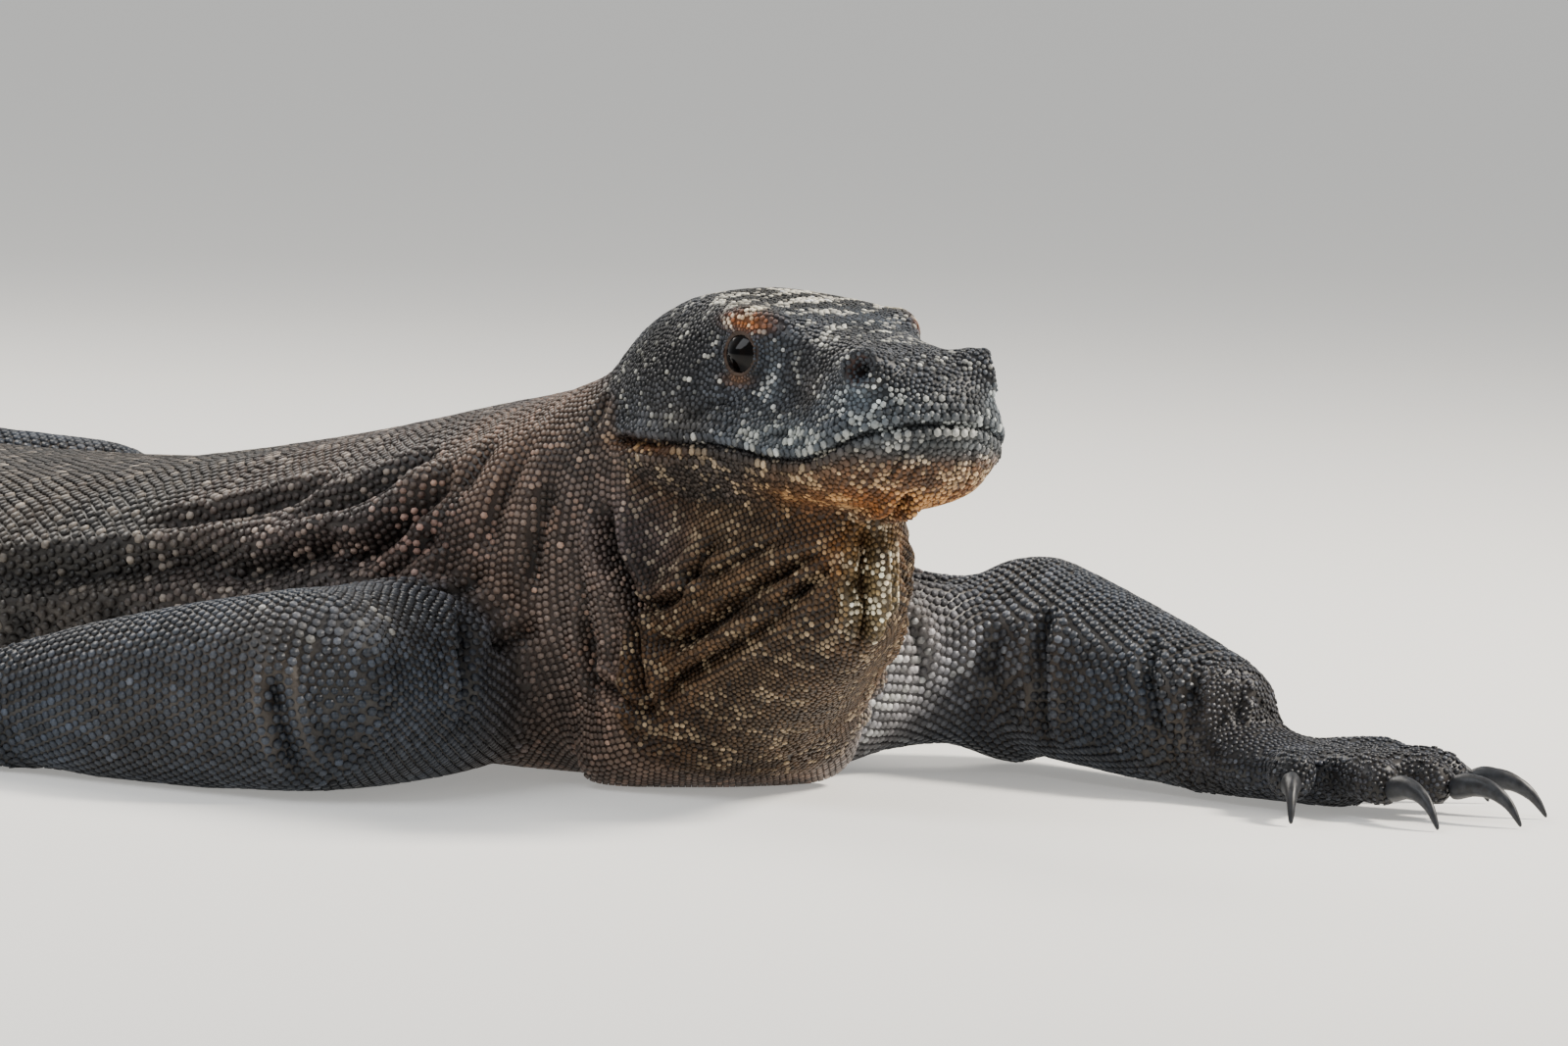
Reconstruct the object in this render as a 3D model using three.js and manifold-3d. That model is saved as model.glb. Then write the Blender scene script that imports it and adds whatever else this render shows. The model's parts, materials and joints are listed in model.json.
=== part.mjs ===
// A Komodo dragon at life size: it lies on its chest and belly with the head raised and turned,
// the left hand planted in front, the right forearm swept back, and the tail curved along the floor.
// Millimetres, +Z up. The animal looks along -Y, its left side is +X, and the floor is z = 0.
import * as THREE from "three";
import { mergeVertices } from "three/addons/utils/BufferGeometryUtils.js";
import Module from "manifold-3d";

const wasm = await Module();
wasm.setup();

// ---------- driving dimensions ----------
const GAP = 0.4; // clearance between neighbouring pieces
const FLOOR = 0;
const SNOUT = 124; // from the eyes forward to the tip of the snout
const NAPE = 118; // from the eyes back to the cut between head and neck
const TAIL_TIP = 2370; // from the eyes back to the tip of the tail
const SHOULDER_BACK = 175; // from the eyes back to the shoulder joints
const HIP_BACK = 930; // from the eyes back to the hip joints
const EYE = { forward: 1, out: 38.5, height: 217, radius: 13 };
const HEAD_RINGS = 16;
const BODY_SIDES = 18;
const LIMB_SIDES = 10;
const TOE_SIDES = 6;
const CLAW_SIDES = 5;

const SKIN_DARK = 0x3b3a3d;
const SKIN_BROWN = 0x46403a;
const CLAW_COLOUR = 0x2a2d33;
const EYE_COLOUR = 0x14100d;

// Which way the body points at each distance behind the eyes: degrees turned to the animal's right.
const TURNS = [
  { back: -200, turn: 20 },
  { back: 60, turn: 20 },
  { back: 175, turn: 13 },
  { back: 320, turn: 5 },
  { back: 520, turn: 0 },
  { back: 1000, turn: 0 },
  { back: 1200, turn: 8 },
  { back: 1500, turn: 24 },
  { back: 1800, turn: 30 },
  { back: 2100, turn: 14 },
  { back: 2400, turn: -10 },
];

// Neck, trunk and tail: height of the back, of the widest level and of the belly, and half the width.
const BODY = [
  { back: 30, top: 206, mid: 165, bottom: 118, half: 44 },
  { back: 60, top: 218, mid: 148, bottom: 60, half: 62 },
  { back: 90, top: 222, mid: 118, bottom: 14, half: 80 },
  { back: 120, top: 212, mid: 100, bottom: -2, half: 102 },
  { back: 150, top: 200, mid: 88, bottom: -6, half: 121 },
  { back: 175, top: 192, mid: 82, bottom: -8, half: 131 },
  { back: 240, top: 179, mid: 74, bottom: -8, half: 146 },
  { back: 360, top: 153, mid: 64, bottom: -8, half: 166 },
  { back: 520, top: 127, mid: 56, bottom: -8, half: 180 },
  { back: 680, top: 119, mid: 53, bottom: -8, half: 174 },
  { back: 820, top: 120, mid: 54, bottom: -6, half: 142 },
  { back: 930, top: 121, mid: 55, bottom: -5, half: 112 },
  { back: 1020, top: 113, mid: 52, bottom: -4, half: 88 },
  { back: 1150, top: 100, mid: 47, bottom: -4, half: 67 },
  { back: 1400, top: 83, mid: 40, bottom: -3, half: 49 },
  { back: 1700, top: 65, mid: 31, bottom: -3, half: 35 },
  { back: 2000, top: 46, mid: 22, bottom: -2, half: 23 },
  { back: 2250, top: 27, mid: 13, bottom: -1, half: 13 },
  { back: 2370, top: 12, mid: 6, bottom: 0, half: 5 },
];

// Lengths that the body is parted into, each from one distance behind the eyes to the next.
const LENGTHS = [
  { name: "chest", from: 205, to: 380, rings: 4 },
  { name: "trunk", from: 380, to: 660, rings: 5 },
  { name: "loins", from: 660, to: 850, rings: 4 },
  { name: "pelvis", from: 850, to: 1040, rings: 5 },
  { name: "tail_base", from: 1040, to: 1300, rings: 5 },
  { name: "tail_front", from: 1300, to: 1580, rings: 4 },
  { name: "tail_middle", from: 1580, to: 1860, rings: 4 },
  { name: "tail_rear", from: 1860, to: 2130, rings: 4 },
  { name: "tail_end", from: 2130, to: TAIL_TIP, rings: 4 },
];

// The head at each distance ahead of the eyes: heights of crown, brow edge, cheek, mouth and chin,
// and half the width at the brow edge, cheek, upper lip, lower jaw and the jaw's under edge.
const HEAD_COLUMNS = "ahead crown brow browAt cheek cheekAt lip mouth jaw keel chin".split(" ");
const HEAD = [
  [124, 206, 12, 202, 15, 198, 14, 194, 10, 6, 189],
  [120, 211, 18, 206, 23, 200, 25, 192, 21, 13, 175],
  [114, 217, 22, 211, 31, 201, 34, 189, 30, 18, 164],
  [106, 223, 25, 216, 38, 202, 42, 185, 38, 23, 157],
  [95, 227, 27, 219, 41, 201, 46, 179, 42, 26, 151],
  [78, 230, 29, 221, 42, 200, 49, 173, 45, 29, 148],
  [50, 233, 31, 223, 42, 199, 51, 171, 48, 32, 145],
  [22, 238, 38, 229, 45, 200, 54, 173, 52, 35, 143],
  [0, 241, 44, 237, 50, 202, 58, 174, 56, 39, 141],
  [-30, 245, 43, 238, 58, 204, 63, 172, 63, 43, 138],
  [-60, 246, 43, 237, 62, 204, 67, 171, 68, 45, 136],
  [-90, 240, 42, 230, 63, 199, 67, 170, 68, 45, 136],
  [-125, 228, 39, 217, 59, 192, 62, 170, 63, 43, 138],
].map((row) => Object.fromEntries(HEAD_COLUMNS.map((column, i) => [column, row[i]])));

// The hanging throat by height: how far its keel reaches ahead of the eyes, half its width,
// and how much narrower than that it is towards the keel.
const THROAT_REAR = -122;
const THROAT = [
  { height: 158, ahead: 50, half: 42, pinch: 0.15 },
  { height: 138, ahead: 60, half: 52, pinch: 0.2 },
  { height: 115, ahead: 63, half: 55, pinch: 0.28 },
  { height: 90, ahead: 60, half: 57, pinch: 0.4 },
  { height: 70, ahead: 38, half: 60, pinch: 0.46 },
  { height: 50, ahead: 4, half: 65, pinch: 0.48 },
  { height: 30, ahead: -28, half: 70, pinch: 0.45 },
  { height: 12, ahead: -58, half: 74, pinch: 0.35 },
  { height: 0, ahead: -84, half: 66, pinch: 0.3 },
];

// Limbs, in the frame of the shoulders or hips: ahead, out from the midline, and height. The flesh
// of the upper length hangs lower than its radius by the share called sag.
const FRONT_TOES = [36, 52, 60, 58, 46];
const HIND_TOES = [40, 60, 76, 86, 54];
const LIMBS = [
  {
    names: ["upper_arm_left", "forearm_left", "hand_left"],
    claws: "claw_left_hand",
    back: SHOULDER_BACK,
    side: 1,
    root: [24, 96, 66],
    bend: [32, 214, 58],
    end: [180, 228, 35],
    upper: [52, 33, 42],
    sag: 0.5,
    lower: [51, 45, 35],
    foot: { heading: [0.9, 0.43], toes: FRONT_TOES, spread: [-62, -26, -5, 15, 40], palmUp: false },
  },
  {
    names: ["upper_arm_right", "forearm_right", "hand_right"],
    claws: "claw_right_hand",
    back: SHOULDER_BACK,
    side: -1,
    root: [-6, 92, 46],
    bend: [58, 227, 50],
    end: [-88, 305, 30],
    upper: [45, 50, 50],
    sag: 0,
    lower: [50, 43, 29],
    foot: { heading: [-0.86, 0.5], toes: FRONT_TOES, spread: [-44, -20, 0, 18, 38], palmUp: true },
  },
  {
    names: ["thigh_left", "shank_left", "foot_left"],
    claws: "claw_left_foot",
    back: HIP_BACK,
    side: 1,
    root: [-10, 66, 60],
    bend: [118, 226, 58],
    end: [-58, 296, 36],
    upper: [64, 58, 50],
    sag: 0,
    lower: [49, 47, 33],
    foot: { heading: [0.42, 0.9], toes: HIND_TOES, spread: [-38, -20, -2, 16, 46], palmUp: false },
  },
  {
    names: ["thigh_right", "shank_right", "foot_right"],
    claws: "claw_right_foot",
    back: HIP_BACK,
    side: -1,
    root: [-10, 66, 60],
    bend: [82, 238, 57],
    end: [-98, 290, 36],
    upper: [64, 58, 50],
    sag: 0,
    lower: [49, 47, 33],
    foot: { heading: [0.52, 0.85], toes: HIND_TOES, spread: [-38, -20, -2, 16, 46], palmUp: false },
  },
];

const PALM = { length: 66, half: 38, thick: 42 }; // of a hand or foot, thickest at the wrist
const WRIST_SET = 8; // from the wrist joint to where the palm is measured from
const TOE = { radius: 13.4, arch: 8 };
const TOE_END = TOE.radius + TOE.arch * 0.15; // height of a toe's blunt end, where its claw starts
const CLAW = { length: 47, radius: 8, sweep: 92, lift: 24, narrow: 0.76, tip: 0.15, steps: 4 };

// ---------- reading the tables ----------
// A smooth value between the rows of a table, by a Hermite curve whose slopes follow the neighbours.
function lookUp(table, key, value, place) {
  const rising = table[1][key] > table[0][key];
  const rows = rising ? table : [...table].reverse();
  const last = rows.length - 1;
  if (place <= rows[0][key]) return rows[0][value];
  if (place >= rows[last][key]) return rows[last][value];
  const i = rows.findIndex((row) => row[key] >= place) - 1;
  const slope = (j) => {
    const a = rows[Math.max(j - 1, 0)];
    const b = rows[Math.min(j + 1, last)];
    return (b[value] - a[value]) / (b[key] - a[key]);
  };
  const span = rows[i + 1][key] - rows[i][key];
  const t = (place - rows[i][key]) / span;
  const t2 = t * t;
  const t3 = t2 * t;
  return (
    (2 * t3 - 3 * t2 + 1) * rows[i][value] +
    (t3 - 2 * t2 + t) * span * slope(i) +
    (3 * t2 - 2 * t3) * rows[i + 1][value] +
    (t3 - t2) * span * slope(i + 1)
  );
}

const radians = THREE.MathUtils.degToRad;

// The midline on the floor, walked in short steps back from the eyes.
const STEP = 5;
const midline = [{ x: 0, y: 0 }];
for (let back = 0; back < TAIL_TIP + STEP; back += STEP) {
  const turn = radians(lookUp(TURNS, "back", "turn", back + STEP / 2));
  const from = midline.at(-1);
  midline.push({ x: from.x + STEP * Math.sin(turn), y: from.y + STEP * Math.cos(turn) });
}

// A frame on the floor at a distance behind the eyes: its origin, and the ways ahead and to the left.
function frameAt(back) {
  const turn = radians(lookUp(TURNS, "back", "turn", back));
  const ahead = new THREE.Vector3(-Math.sin(turn), -Math.cos(turn), 0);
  const left = new THREE.Vector3(Math.cos(turn), -Math.sin(turn), 0);
  const i = Math.min(Math.max(Math.floor(back / STEP), 0), midline.length - 2);
  const rest = Math.max(back / STEP - i, 0);
  const a = midline[i];
  const b = midline[i + 1];
  const origin = new THREE.Vector3(a.x + (b.x - a.x) * rest, a.y + (b.y - a.y) * rest, 0);
  if (back < 0) origin.set(0, 0, 0).addScaledVector(ahead, -back);
  return { origin, ahead, left };
}

function pointIn(frame, ahead, left, height) {
  return frame.origin
    .clone()
    .addScaledVector(frame.ahead, ahead)
    .addScaledVector(frame.left, left)
    .setZ(Math.max(height, FLOOR));
}

const headFrame = frameAt(0);

// ---------- closed shapes from rings ----------
// Rings of equal count are skinned in order and closed by a fan at each end.
function skinRings(rings) {
  const sides = rings[0].length;
  const centre = (ring) => ring.reduce((sum, p) => sum.add(p), new THREE.Vector3()).divideScalar(sides);
  const points = [...rings.flat(), centre(rings[0]), centre(rings.at(-1))];
  const faces = [];
  for (let k = 0; k + 1 < rings.length; k++)
    for (let i = 0; i < sides; i++) {
      const a = k * sides + i;
      const b = k * sides + ((i + 1) % sides);
      faces.push([a, a + sides, b], [b, a + sides, b + sides]);
    }
  const lastRing = (rings.length - 1) * sides;
  for (let i = 0; i < sides; i++) {
    const next = (i + 1) % sides;
    faces.push([points.length - 2, i, next], [points.length - 1, lastRing + next, lastRing + i]);
  }
  const volume = faces.reduce((sum, [a, b, c]) => sum + points[a].dot(points[b].clone().cross(points[c])), 0);
  const facing = volume < 0 ? faces.map(([a, b, c]) => [a, c, b]) : faces;
  const geometry = new THREE.BufferGeometry().setFromPoints(points);
  geometry.setIndex(facing.flat());
  return geometry;
}

function solidOf(geometry) {
  const bare = geometry.clone();
  bare.deleteAttribute("normal");
  bare.deleteAttribute("uv");
  const merged = mergeVertices(bare, 1e-4);
  return new wasm.Manifold(
    new wasm.Mesh({
      numProp: 3,
      vertProperties: new Float32Array(merged.attributes.position.array),
      triVerts: new Uint32Array(merged.index.array),
    }),
  );
}

function geometryOf(solid) {
  const { vertProperties, triVerts, numProp } = solid.getMesh();
  const count = vertProperties.length / numProp;
  const points = new Float32Array(count * 3);
  for (let i = 0; i < count; i++) points.set(vertProperties.subarray(i * numProp, i * numProp + 3), i * 3);
  const geometry = new THREE.BufferGeometry().setAttribute("position", new THREE.BufferAttribute(points, 3));
  geometry.setIndex(new THREE.BufferAttribute(new Uint32Array(triVerts), 1));
  return geometry;
}

const largest = (solid) => solid.decompose().sort((a, b) => b.volume() - a.volume())[0];

// A rounded cross-section: the corners are a little fuller than an ellipse's.
const FULLNESS = 0.88;
const rounded = (value) => Math.sign(value) * Math.abs(value) ** FULLNESS;

// ---------- neck, trunk and tail ----------
function bodyRing(back, grow = 0) {
  const frame = frameAt(back);
  const size = Object.fromEntries(
    ["top", "mid", "bottom", "half"].map((key) => [key, lookUp(BODY, "back", key, back)]),
  );
  return Array.from({ length: BODY_SIDES }, (_, i) => {
    const angle = (2 * Math.PI * i) / BODY_SIDES;
    const rise = Math.sin(angle) > 0 ? size.top - size.mid : size.mid - size.bottom;
    return pointIn(
      frame,
      0,
      (size.half + grow) * rounded(Math.cos(angle)),
      size.mid + (rise + grow) * rounded(Math.sin(angle)),
    );
  });
}

const stations = (from, to, count) =>
  Array.from({ length: count + 1 }, (_, k) => from + ((to - from) * k) / count);

const bodyLength = (places, grow = 0) => solidOf(skinRings(places.map((back) => bodyRing(back, grow))));

// ---------- head ----------
// Half of the head's outline in one slice, from the crown round to the chin, as a smooth curve.
const HEAD_STEPS = 11;
function headRing(ahead, grow = 0) {
  const at = (key) => lookUp(HEAD, "ahead", key, ahead);
  const outline = new THREE.CatmullRomCurve3([
    new THREE.Vector3(0, at("crown") + grow, 0),
    new THREE.Vector3(at("brow") * 0.62, (at("crown") * 3 + at("browAt")) / 4 + grow, 0),
    new THREE.Vector3(at("brow") + grow, at("browAt") + grow, 0),
    new THREE.Vector3(at("cheek") + grow, at("cheekAt"), 0),
    new THREE.Vector3(at("lip") + grow, at("mouth") + 6, 0),
    new THREE.Vector3(at("jaw") + grow, at("mouth") - 9, 0),
    new THREE.Vector3(at("keel") + grow, at("chin") + 5 - grow, 0),
    new THREE.Vector3(0, at("chin") - grow, 0),
  ]);
  const half = outline.getPoints(HEAD_STEPS);
  const left = half.map((p) => pointIn(headFrame, ahead, p.x, p.y));
  const right = half.slice(1, -1).map((p) => pointIn(headFrame, ahead, -p.x, p.y));
  return [...left, ...right.reverse()];
}

// Slices lie closer together towards the blunt snout.
function headShell(grow = 0) {
  const span = SNOUT + NAPE + 6;
  const rings = Array.from({ length: HEAD_RINGS + 1 }, (_, k) => {
    const ahead = SNOUT - span * (k / HEAD_RINGS) ** 1.5;
    return headRing(ahead, grow);
  });
  return solidOf(skinRings(rings));
}

// An egg at a place on the head, with its half-sizes along, across and up.
function headEgg(ahead, left, height, sizes, tilt = 0) {
  const egg = new THREE.SphereGeometry(1, 9, 7);
  egg.scale(sizes[1], sizes[0], sizes[2]);
  egg.rotateX(radians(tilt));
  egg.rotateZ(-radians(TURNS[0].turn));
  const place = pointIn(headFrame, ahead, left, height);
  return solidOf(egg.translate(place.x, place.y, place.z));
}

const BROW = { ahead: 2, out: 37, height: 232, sizes: [26, 14, 9] };
const NOSTRIL = { ahead: 96, out: 24, height: 213, sizes: [19, 13, 13], pit: [6, 6, 5] };
const EAR = { ahead: -94, out: 75, height: 183, pit: [8, 6, 14] };

function headWhole(grow = 0) {
  let head = headShell(grow);
  for (const side of [1, -1]) {
    for (const { ahead, out, height, sizes } of [BROW, NOSTRIL])
      head = head.add(headEgg(ahead, side * out, height, sizes.map((size) => size + grow)));
  }
  return head;
}

function eyeball(side, radius) {
  const ball = new THREE.SphereGeometry(radius, 12, 8).rotateZ(radians(side > 0 ? 90 : -90));
  const place = pointIn(headFrame, EYE.forward, side * EYE.out, EYE.height);
  return solidOf(ball.translate(place.x, place.y, place.z));
}

// A thin curved leaf along the closed mouth, through the whole head, that parts the lower jaw.
function mouthCut() {
  const places = Array.from({ length: 15 }, (_, k) => -NAPE - 20 + ((SNOUT + NAPE + 40) * k) / 14);
  const height = (ahead) => lookUp(HEAD, "ahead", "mouth", ahead);
  const edge = (offset) => places.map((ahead) => new THREE.Vector2(ahead, height(ahead) + offset));
  const leaf = new THREE.Shape([...edge(GAP / 2), ...edge(-GAP / 2).reverse()]);
  const width = 260;
  const cut = new THREE.ExtrudeGeometry(leaf, { depth: width, bevelEnabled: false, steps: 1 });
  const across = headFrame.left.clone().negate();
  const basis = new THREE.Matrix4().makeBasis(headFrame.ahead, new THREE.Vector3(0, 0, 1), across);
  cut.translate(0, 0, -width / 2).applyMatrix4(basis);
  return solidOf(cut);
}

// A block that holds everything behind, or ahead of, a place on the head's own line.
function blockFrom(ahead, side) {
  const reach = 900;
  const block = new THREE.BoxGeometry(reach, reach, reach);
  block.rotateZ(-radians(TURNS[0].turn));
  const middle = pointIn(headFrame, ahead + (side * reach) / 2, 0, 100);
  return solidOf(block.translate(middle.x, middle.y, middle.z));
}

// ---------- throat ----------
function throatRing({ height, ahead, half, pinch }, grow = 0) {
  const middle = (ahead + THROAT_REAR) / 2;
  const reach = (ahead - THROAT_REAR) / 2 + grow;
  return Array.from({ length: BODY_SIDES }, (_, i) => {
    const angle = (2 * Math.PI * i) / BODY_SIDES;
    const out = (half + grow) * Math.sin(angle) * (1 - pinch * Math.cos(angle));
    return pointIn(headFrame, middle + reach * Math.cos(angle), out, height);
  });
}

// ---------- limbs ----------
// A tapered length between two points with rounded ends; radii are given at its start, middle and end,
// and its under side hangs lower by a share of them.
const END_ROUNDNESS = 0.62; // how far the rounded ends stand past the joints, in radii
const END_ANGLES = [68, 34];

function limbLength(from, to, radii, sag = 0) {
  const along = to.clone().sub(from);
  const length = along.length();
  along.normalize();
  const across = new THREE.Vector3().crossVectors(along, new THREE.Vector3(0, 0, 1)).normalize();
  const upward = new THREE.Vector3().crossVectors(across, along);
  const table = radii.map((radius, k) => ({ at: k / (radii.length - 1), radius }));
  const ended = (at, sign) => (angle) => ({
    at,
    past: sign * Math.sin(radians(angle)) * END_ROUNDNESS,
    narrow: Math.cos(radians(angle)),
  });
  const places = [
    ...END_ANGLES.map(ended(0, -1)),
    ...[0, 0.33, 0.67, 1].map((at) => ({ at, past: 0, narrow: 1 })),
    ...[...END_ANGLES].reverse().map(ended(1, 1)),
  ];
  const rings = places.map(({ at, past, narrow }) => {
    const radius = lookUp(table, "at", "radius", at);
    const centre = from.clone().addScaledVector(along, at * length + past * radius);
    return Array.from({ length: LIMB_SIDES }, (_, i) => {
      const angle = (2 * Math.PI * i) / LIMB_SIDES;
      const fall = Math.sin(angle) < 0 ? 1 + sag : 1;
      const p = centre
        .clone()
        .addScaledVector(across, radius * narrow * Math.cos(angle))
        .addScaledVector(upward, radius * narrow * fall * Math.sin(angle));
      return p.setZ(Math.max(p.z, FLOOR));
    });
  });
  return solidOf(skinRings(rings));
}

// Parts a solid in two, a gap apart, by the plane through a point and square to a direction.
function partAt(solid, point, direction) {
  const offset = point.dot(direction);
  const facing = direction.toArray();
  const opposite = direction.clone().negate().toArray();
  return [
    solid.trimByPlane(opposite, GAP / 2 - offset),
    solid.trimByPlane(facing, offset + GAP / 2),
  ];
}

// ---------- hands and feet ----------
// Rings round a bent line of centres in the foot's own frame, each with its half-width and half-height.
function footTube(toWorld, sections, sides) {
  const last = sections.length - 1;
  const rings = sections.map(({ centre, wide, high }, k) => {
    const before = sections[Math.max(k - 1, 0)].centre;
    const after = sections[Math.min(k + 1, last)].centre;
    const along = after.clone().sub(before);
    if (k === 0 || k === last) along.setZ(0);
    along.normalize();
    const across = new THREE.Vector3().crossVectors(along, new THREE.Vector3(0, 0, 1)).normalize();
    const upward = new THREE.Vector3().crossVectors(across, along);
    return Array.from({ length: sides }, (_, i) => {
      const angle = (2 * Math.PI * (i + 0.5)) / sides;
      const p = centre
        .clone()
        .addScaledVector(across, wide * Math.cos(angle))
        .addScaledVector(upward, high * Math.sin(angle));
      return toWorld(p.setZ(Math.max(p.z, FLOOR)));
    });
  });
  return solidOf(skinRings(rings));
}

function toeLine(foot, k) {
  const angle = radians(foot.spread[k]);
  const heading = new THREE.Vector3(Math.cos(angle), Math.sin(angle), 0);
  const side = (k - 2) / 2; // -1 for the inner toe, 1 for the outer
  const setBack = 0.24 * side * side + (k === 4 ? 0.14 : 0);
  const base = new THREE.Vector3(PALM.length * (0.9 - setBack), PALM.half * 0.76 * side, 0);
  return { heading, base, length: foot.toes[k] };
}

function palm(toWorld) {
  const { length, half, thick } = PALM;
  const section = (along, share, width) => ({
    centre: new THREE.Vector3(length * along, 0, (thick * share) / 2),
    wide: half * width,
    high: (thick * share) / 2 + 1,
  });
  const sections = [
    section(-0.42, 1, 0.5),
    section(-0.18, 1.06, 0.82),
    section(0.2, 0.9, 1),
    section(0.6, 0.72, 1.06),
    section(0.9, 0.58, 0.9),
    section(1.04, 0.42, 0.6),
  ];
  return footTube(toWorld, sections, LIMB_SIDES);
}

// A toe rises to its knuckle and comes down to a blunt end, where the claw starts.
function toe(foot, k, toWorld) {
  const { heading, base, length } = toeLine(foot, k);
  const { radius, arch } = TOE;
  const section = (share, height, size) => ({
    centre: base.clone().addScaledVector(heading, length * share).setZ(height),
    wide: radius * size,
    high: radius * size,
  });
  const sections = [
    section(-0.4, radius + 4, 0.95),
    section(0.2, radius + arch * 0.85, 1.02),
    section(0.65, radius + arch * 0.85, 1.04),
    section(1, TOE_END, 0.82),
  ];
  return footTube(toWorld, sections, TOE_SIDES);
}

// A claw is a thin cone bent round an arc: it leaves the toe forwards from an upright face and comes
// down to the floor. One too long for its toe's height is raised evenly, so that its tip ends there.
function claw(foot, k, toWorld) {
  const { heading, base, length } = toeLine(foot, k);
  const sweep = radians(CLAW.sweep);
  const lift = radians(CLAW.lift);
  const bend = (CLAW.length * (0.7 + 0.3 * Math.min(length / 60, 1.2))) / sweep;
  const start = base.clone().addScaledVector(heading, length + 2 * GAP);
  const sections = stations(0, 1, CLAW.steps).map((share) => {
    const turned = sweep * share - lift;
    const slim = CLAW.radius * Math.max((1 - share) ** 0.75, CLAW.tip);
    const forward = bend * (Math.sin(turned) + Math.sin(lift));
    const drop = bend * (Math.cos(lift) - Math.cos(turned));
    const centre = start.clone().addScaledVector(heading, forward).setZ(TOE_END + 1 - drop);
    return { share, centre, wide: slim * CLAW.narrow, high: slim };
  });
  const below = Math.min(sections.at(-1).centre.z - CLAW.radius * CLAW.tip, 0);
  for (const { share, centre } of sections) centre.z -= below * share;
  return footTube(toWorld, sections, CLAW_SIDES);
}

// ---------- putting the animal together ----------
const materials = {
  skin: new THREE.MeshStandardMaterial({ color: SKIN_DARK, roughness: 0.75, metalness: 0 }),
  throat: new THREE.MeshStandardMaterial({ color: SKIN_BROWN, roughness: 0.78, metalness: 0 }),
  claw: new THREE.MeshStandardMaterial({ color: CLAW_COLOUR, roughness: 0.4, metalness: 0 }),
  eye: new THREE.MeshStandardMaterial({ color: EYE_COLOUR, roughness: 0.08, metalness: 0 }),
};

const dragon = new THREE.Group();

function place(name, solid, material) {
  const mesh = new THREE.Mesh(geometryOf(largest(solid)), material);
  mesh.name = name;
  dragon.add(mesh);
}

function addHead() {
  let head = headWhole();
  for (const side of [1, -1]) {
    head = head.subtract(eyeball(side, EYE.radius + GAP));
    head = head.subtract(headEgg(NOSTRIL.ahead + 3, side * (NOSTRIL.out + 13), NOSTRIL.height, NOSTRIL.pit));
    head = head.subtract(headEgg(EAR.ahead, side * EAR.out, EAR.height, EAR.pit));
  }
  const trimmed = head.subtract(blockFrom(-NAPE, -1));
  const [upper, lower] = trimmed
    .subtract(mouthCut())
    .decompose()
    .sort((a, b) => b.volume() - a.volume());
  place("head", upper, materials.skin);
  place("lower_jaw", lower, materials.skin);
  place("eye_left", eyeball(1, EYE.radius), materials.eye);
  place("eye_right", eyeball(-1, EYE.radius), materials.eye);
}

const NECK_FRONT = 30;
const NECK_REAR = LENGTHS[0].from;
const THROAT_PART = -70; // where the throat ends and the neck begins, ahead of the eyes

function neckWhole(grow = 0) {
  const neck = bodyLength(stations(NECK_FRONT, NECK_REAR - GAP, 8), grow);
  return neck.add(solidOf(skinRings(THROAT.map((row) => throatRing(row, grow)))));
}

function addNeck() {
  const soft = neckWhole().subtract(headWhole(GAP).subtract(blockFrom(-NAPE - GAP, -1)));
  place("throat", soft.intersect(blockFrom(THROAT_PART + GAP / 2, 1)), materials.throat);
  place("neck", soft.intersect(blockFrom(THROAT_PART - GAP / 2, -1)), materials.skin);
}

function addBody() {
  for (const { name, from, to, rings } of LENGTHS)
    place(name, bodyLength(stations(from, to - GAP, rings)), materials.skin);
}

// What the limbs are cut back from: the neck and the body, a gap larger all round.
function limbClearance() {
  const places = LENGTHS.slice(0, 5).flatMap(({ from, to, rings }) => stations(from, to, rings).slice(0, -1));
  return neckWhole(GAP).add(bodyLength([NECK_REAR - 1, ...places.slice(1)], GAP));
}

// A whole limb is one solid, parted at the elbow or knee and at the wrist or ankle.
function addLimb(limb, clearance) {
  const { foot } = limb;
  const frame = frameAt(limb.back);
  const joint = ([ahead, out, height]) => pointIn(frame, ahead, limb.side * out, height);
  const [root, bend, end] = [limb.root, limb.bend, limb.end].map(joint);
  const heading = frame.ahead
    .clone()
    .multiplyScalar(foot.heading[0])
    .addScaledVector(frame.left, limb.side * foot.heading[1])
    .normalize();
  const outward = new THREE.Vector3(-heading.y, heading.x, 0);
  if (outward.dot(frame.left) * limb.side < 0) outward.negate();
  const toWorld = (p) =>
    end
      .clone()
      .addScaledVector(heading, p.x + WRIST_SET)
      .addScaledVector(outward, p.y)
      .setZ(foot.palmUp ? Math.max(PALM.thick - 2 - p.z, FLOOR) : p.z);

  let whole = limbLength(root, bend, limb.upper, limb.sag).add(limbLength(bend, end, limb.lower));
  whole = whole.add(palm(toWorld));
  for (let k = 0; k < foot.toes.length; k++) whole = whole.add(toe(foot, k, toWorld));
  const upperWay = bend.clone().sub(root).normalize();
  const lowerWay = end.clone().sub(bend).normalize();
  const [upper, rest] = partAt(whole.subtract(clearance), bend, upperWay.add(lowerWay).normalize());
  const [lower, hand] = partAt(rest, end, lowerWay.clone().add(heading).normalize());
  place(limb.names[0], upper, materials.skin);
  place(limb.names[1], lower, materials.skin);
  place(limb.names[2], hand, materials.skin);
  for (let k = 0; k < foot.toes.length; k++)
    place(`${limb.claws}_${k + 1}`, claw(foot, k, toWorld), materials.claw);
}

addHead();
addNeck();
addBody();
const clearance = limbClearance();
for (const limb of LIMBS) addLimb(limb, clearance);

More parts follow.
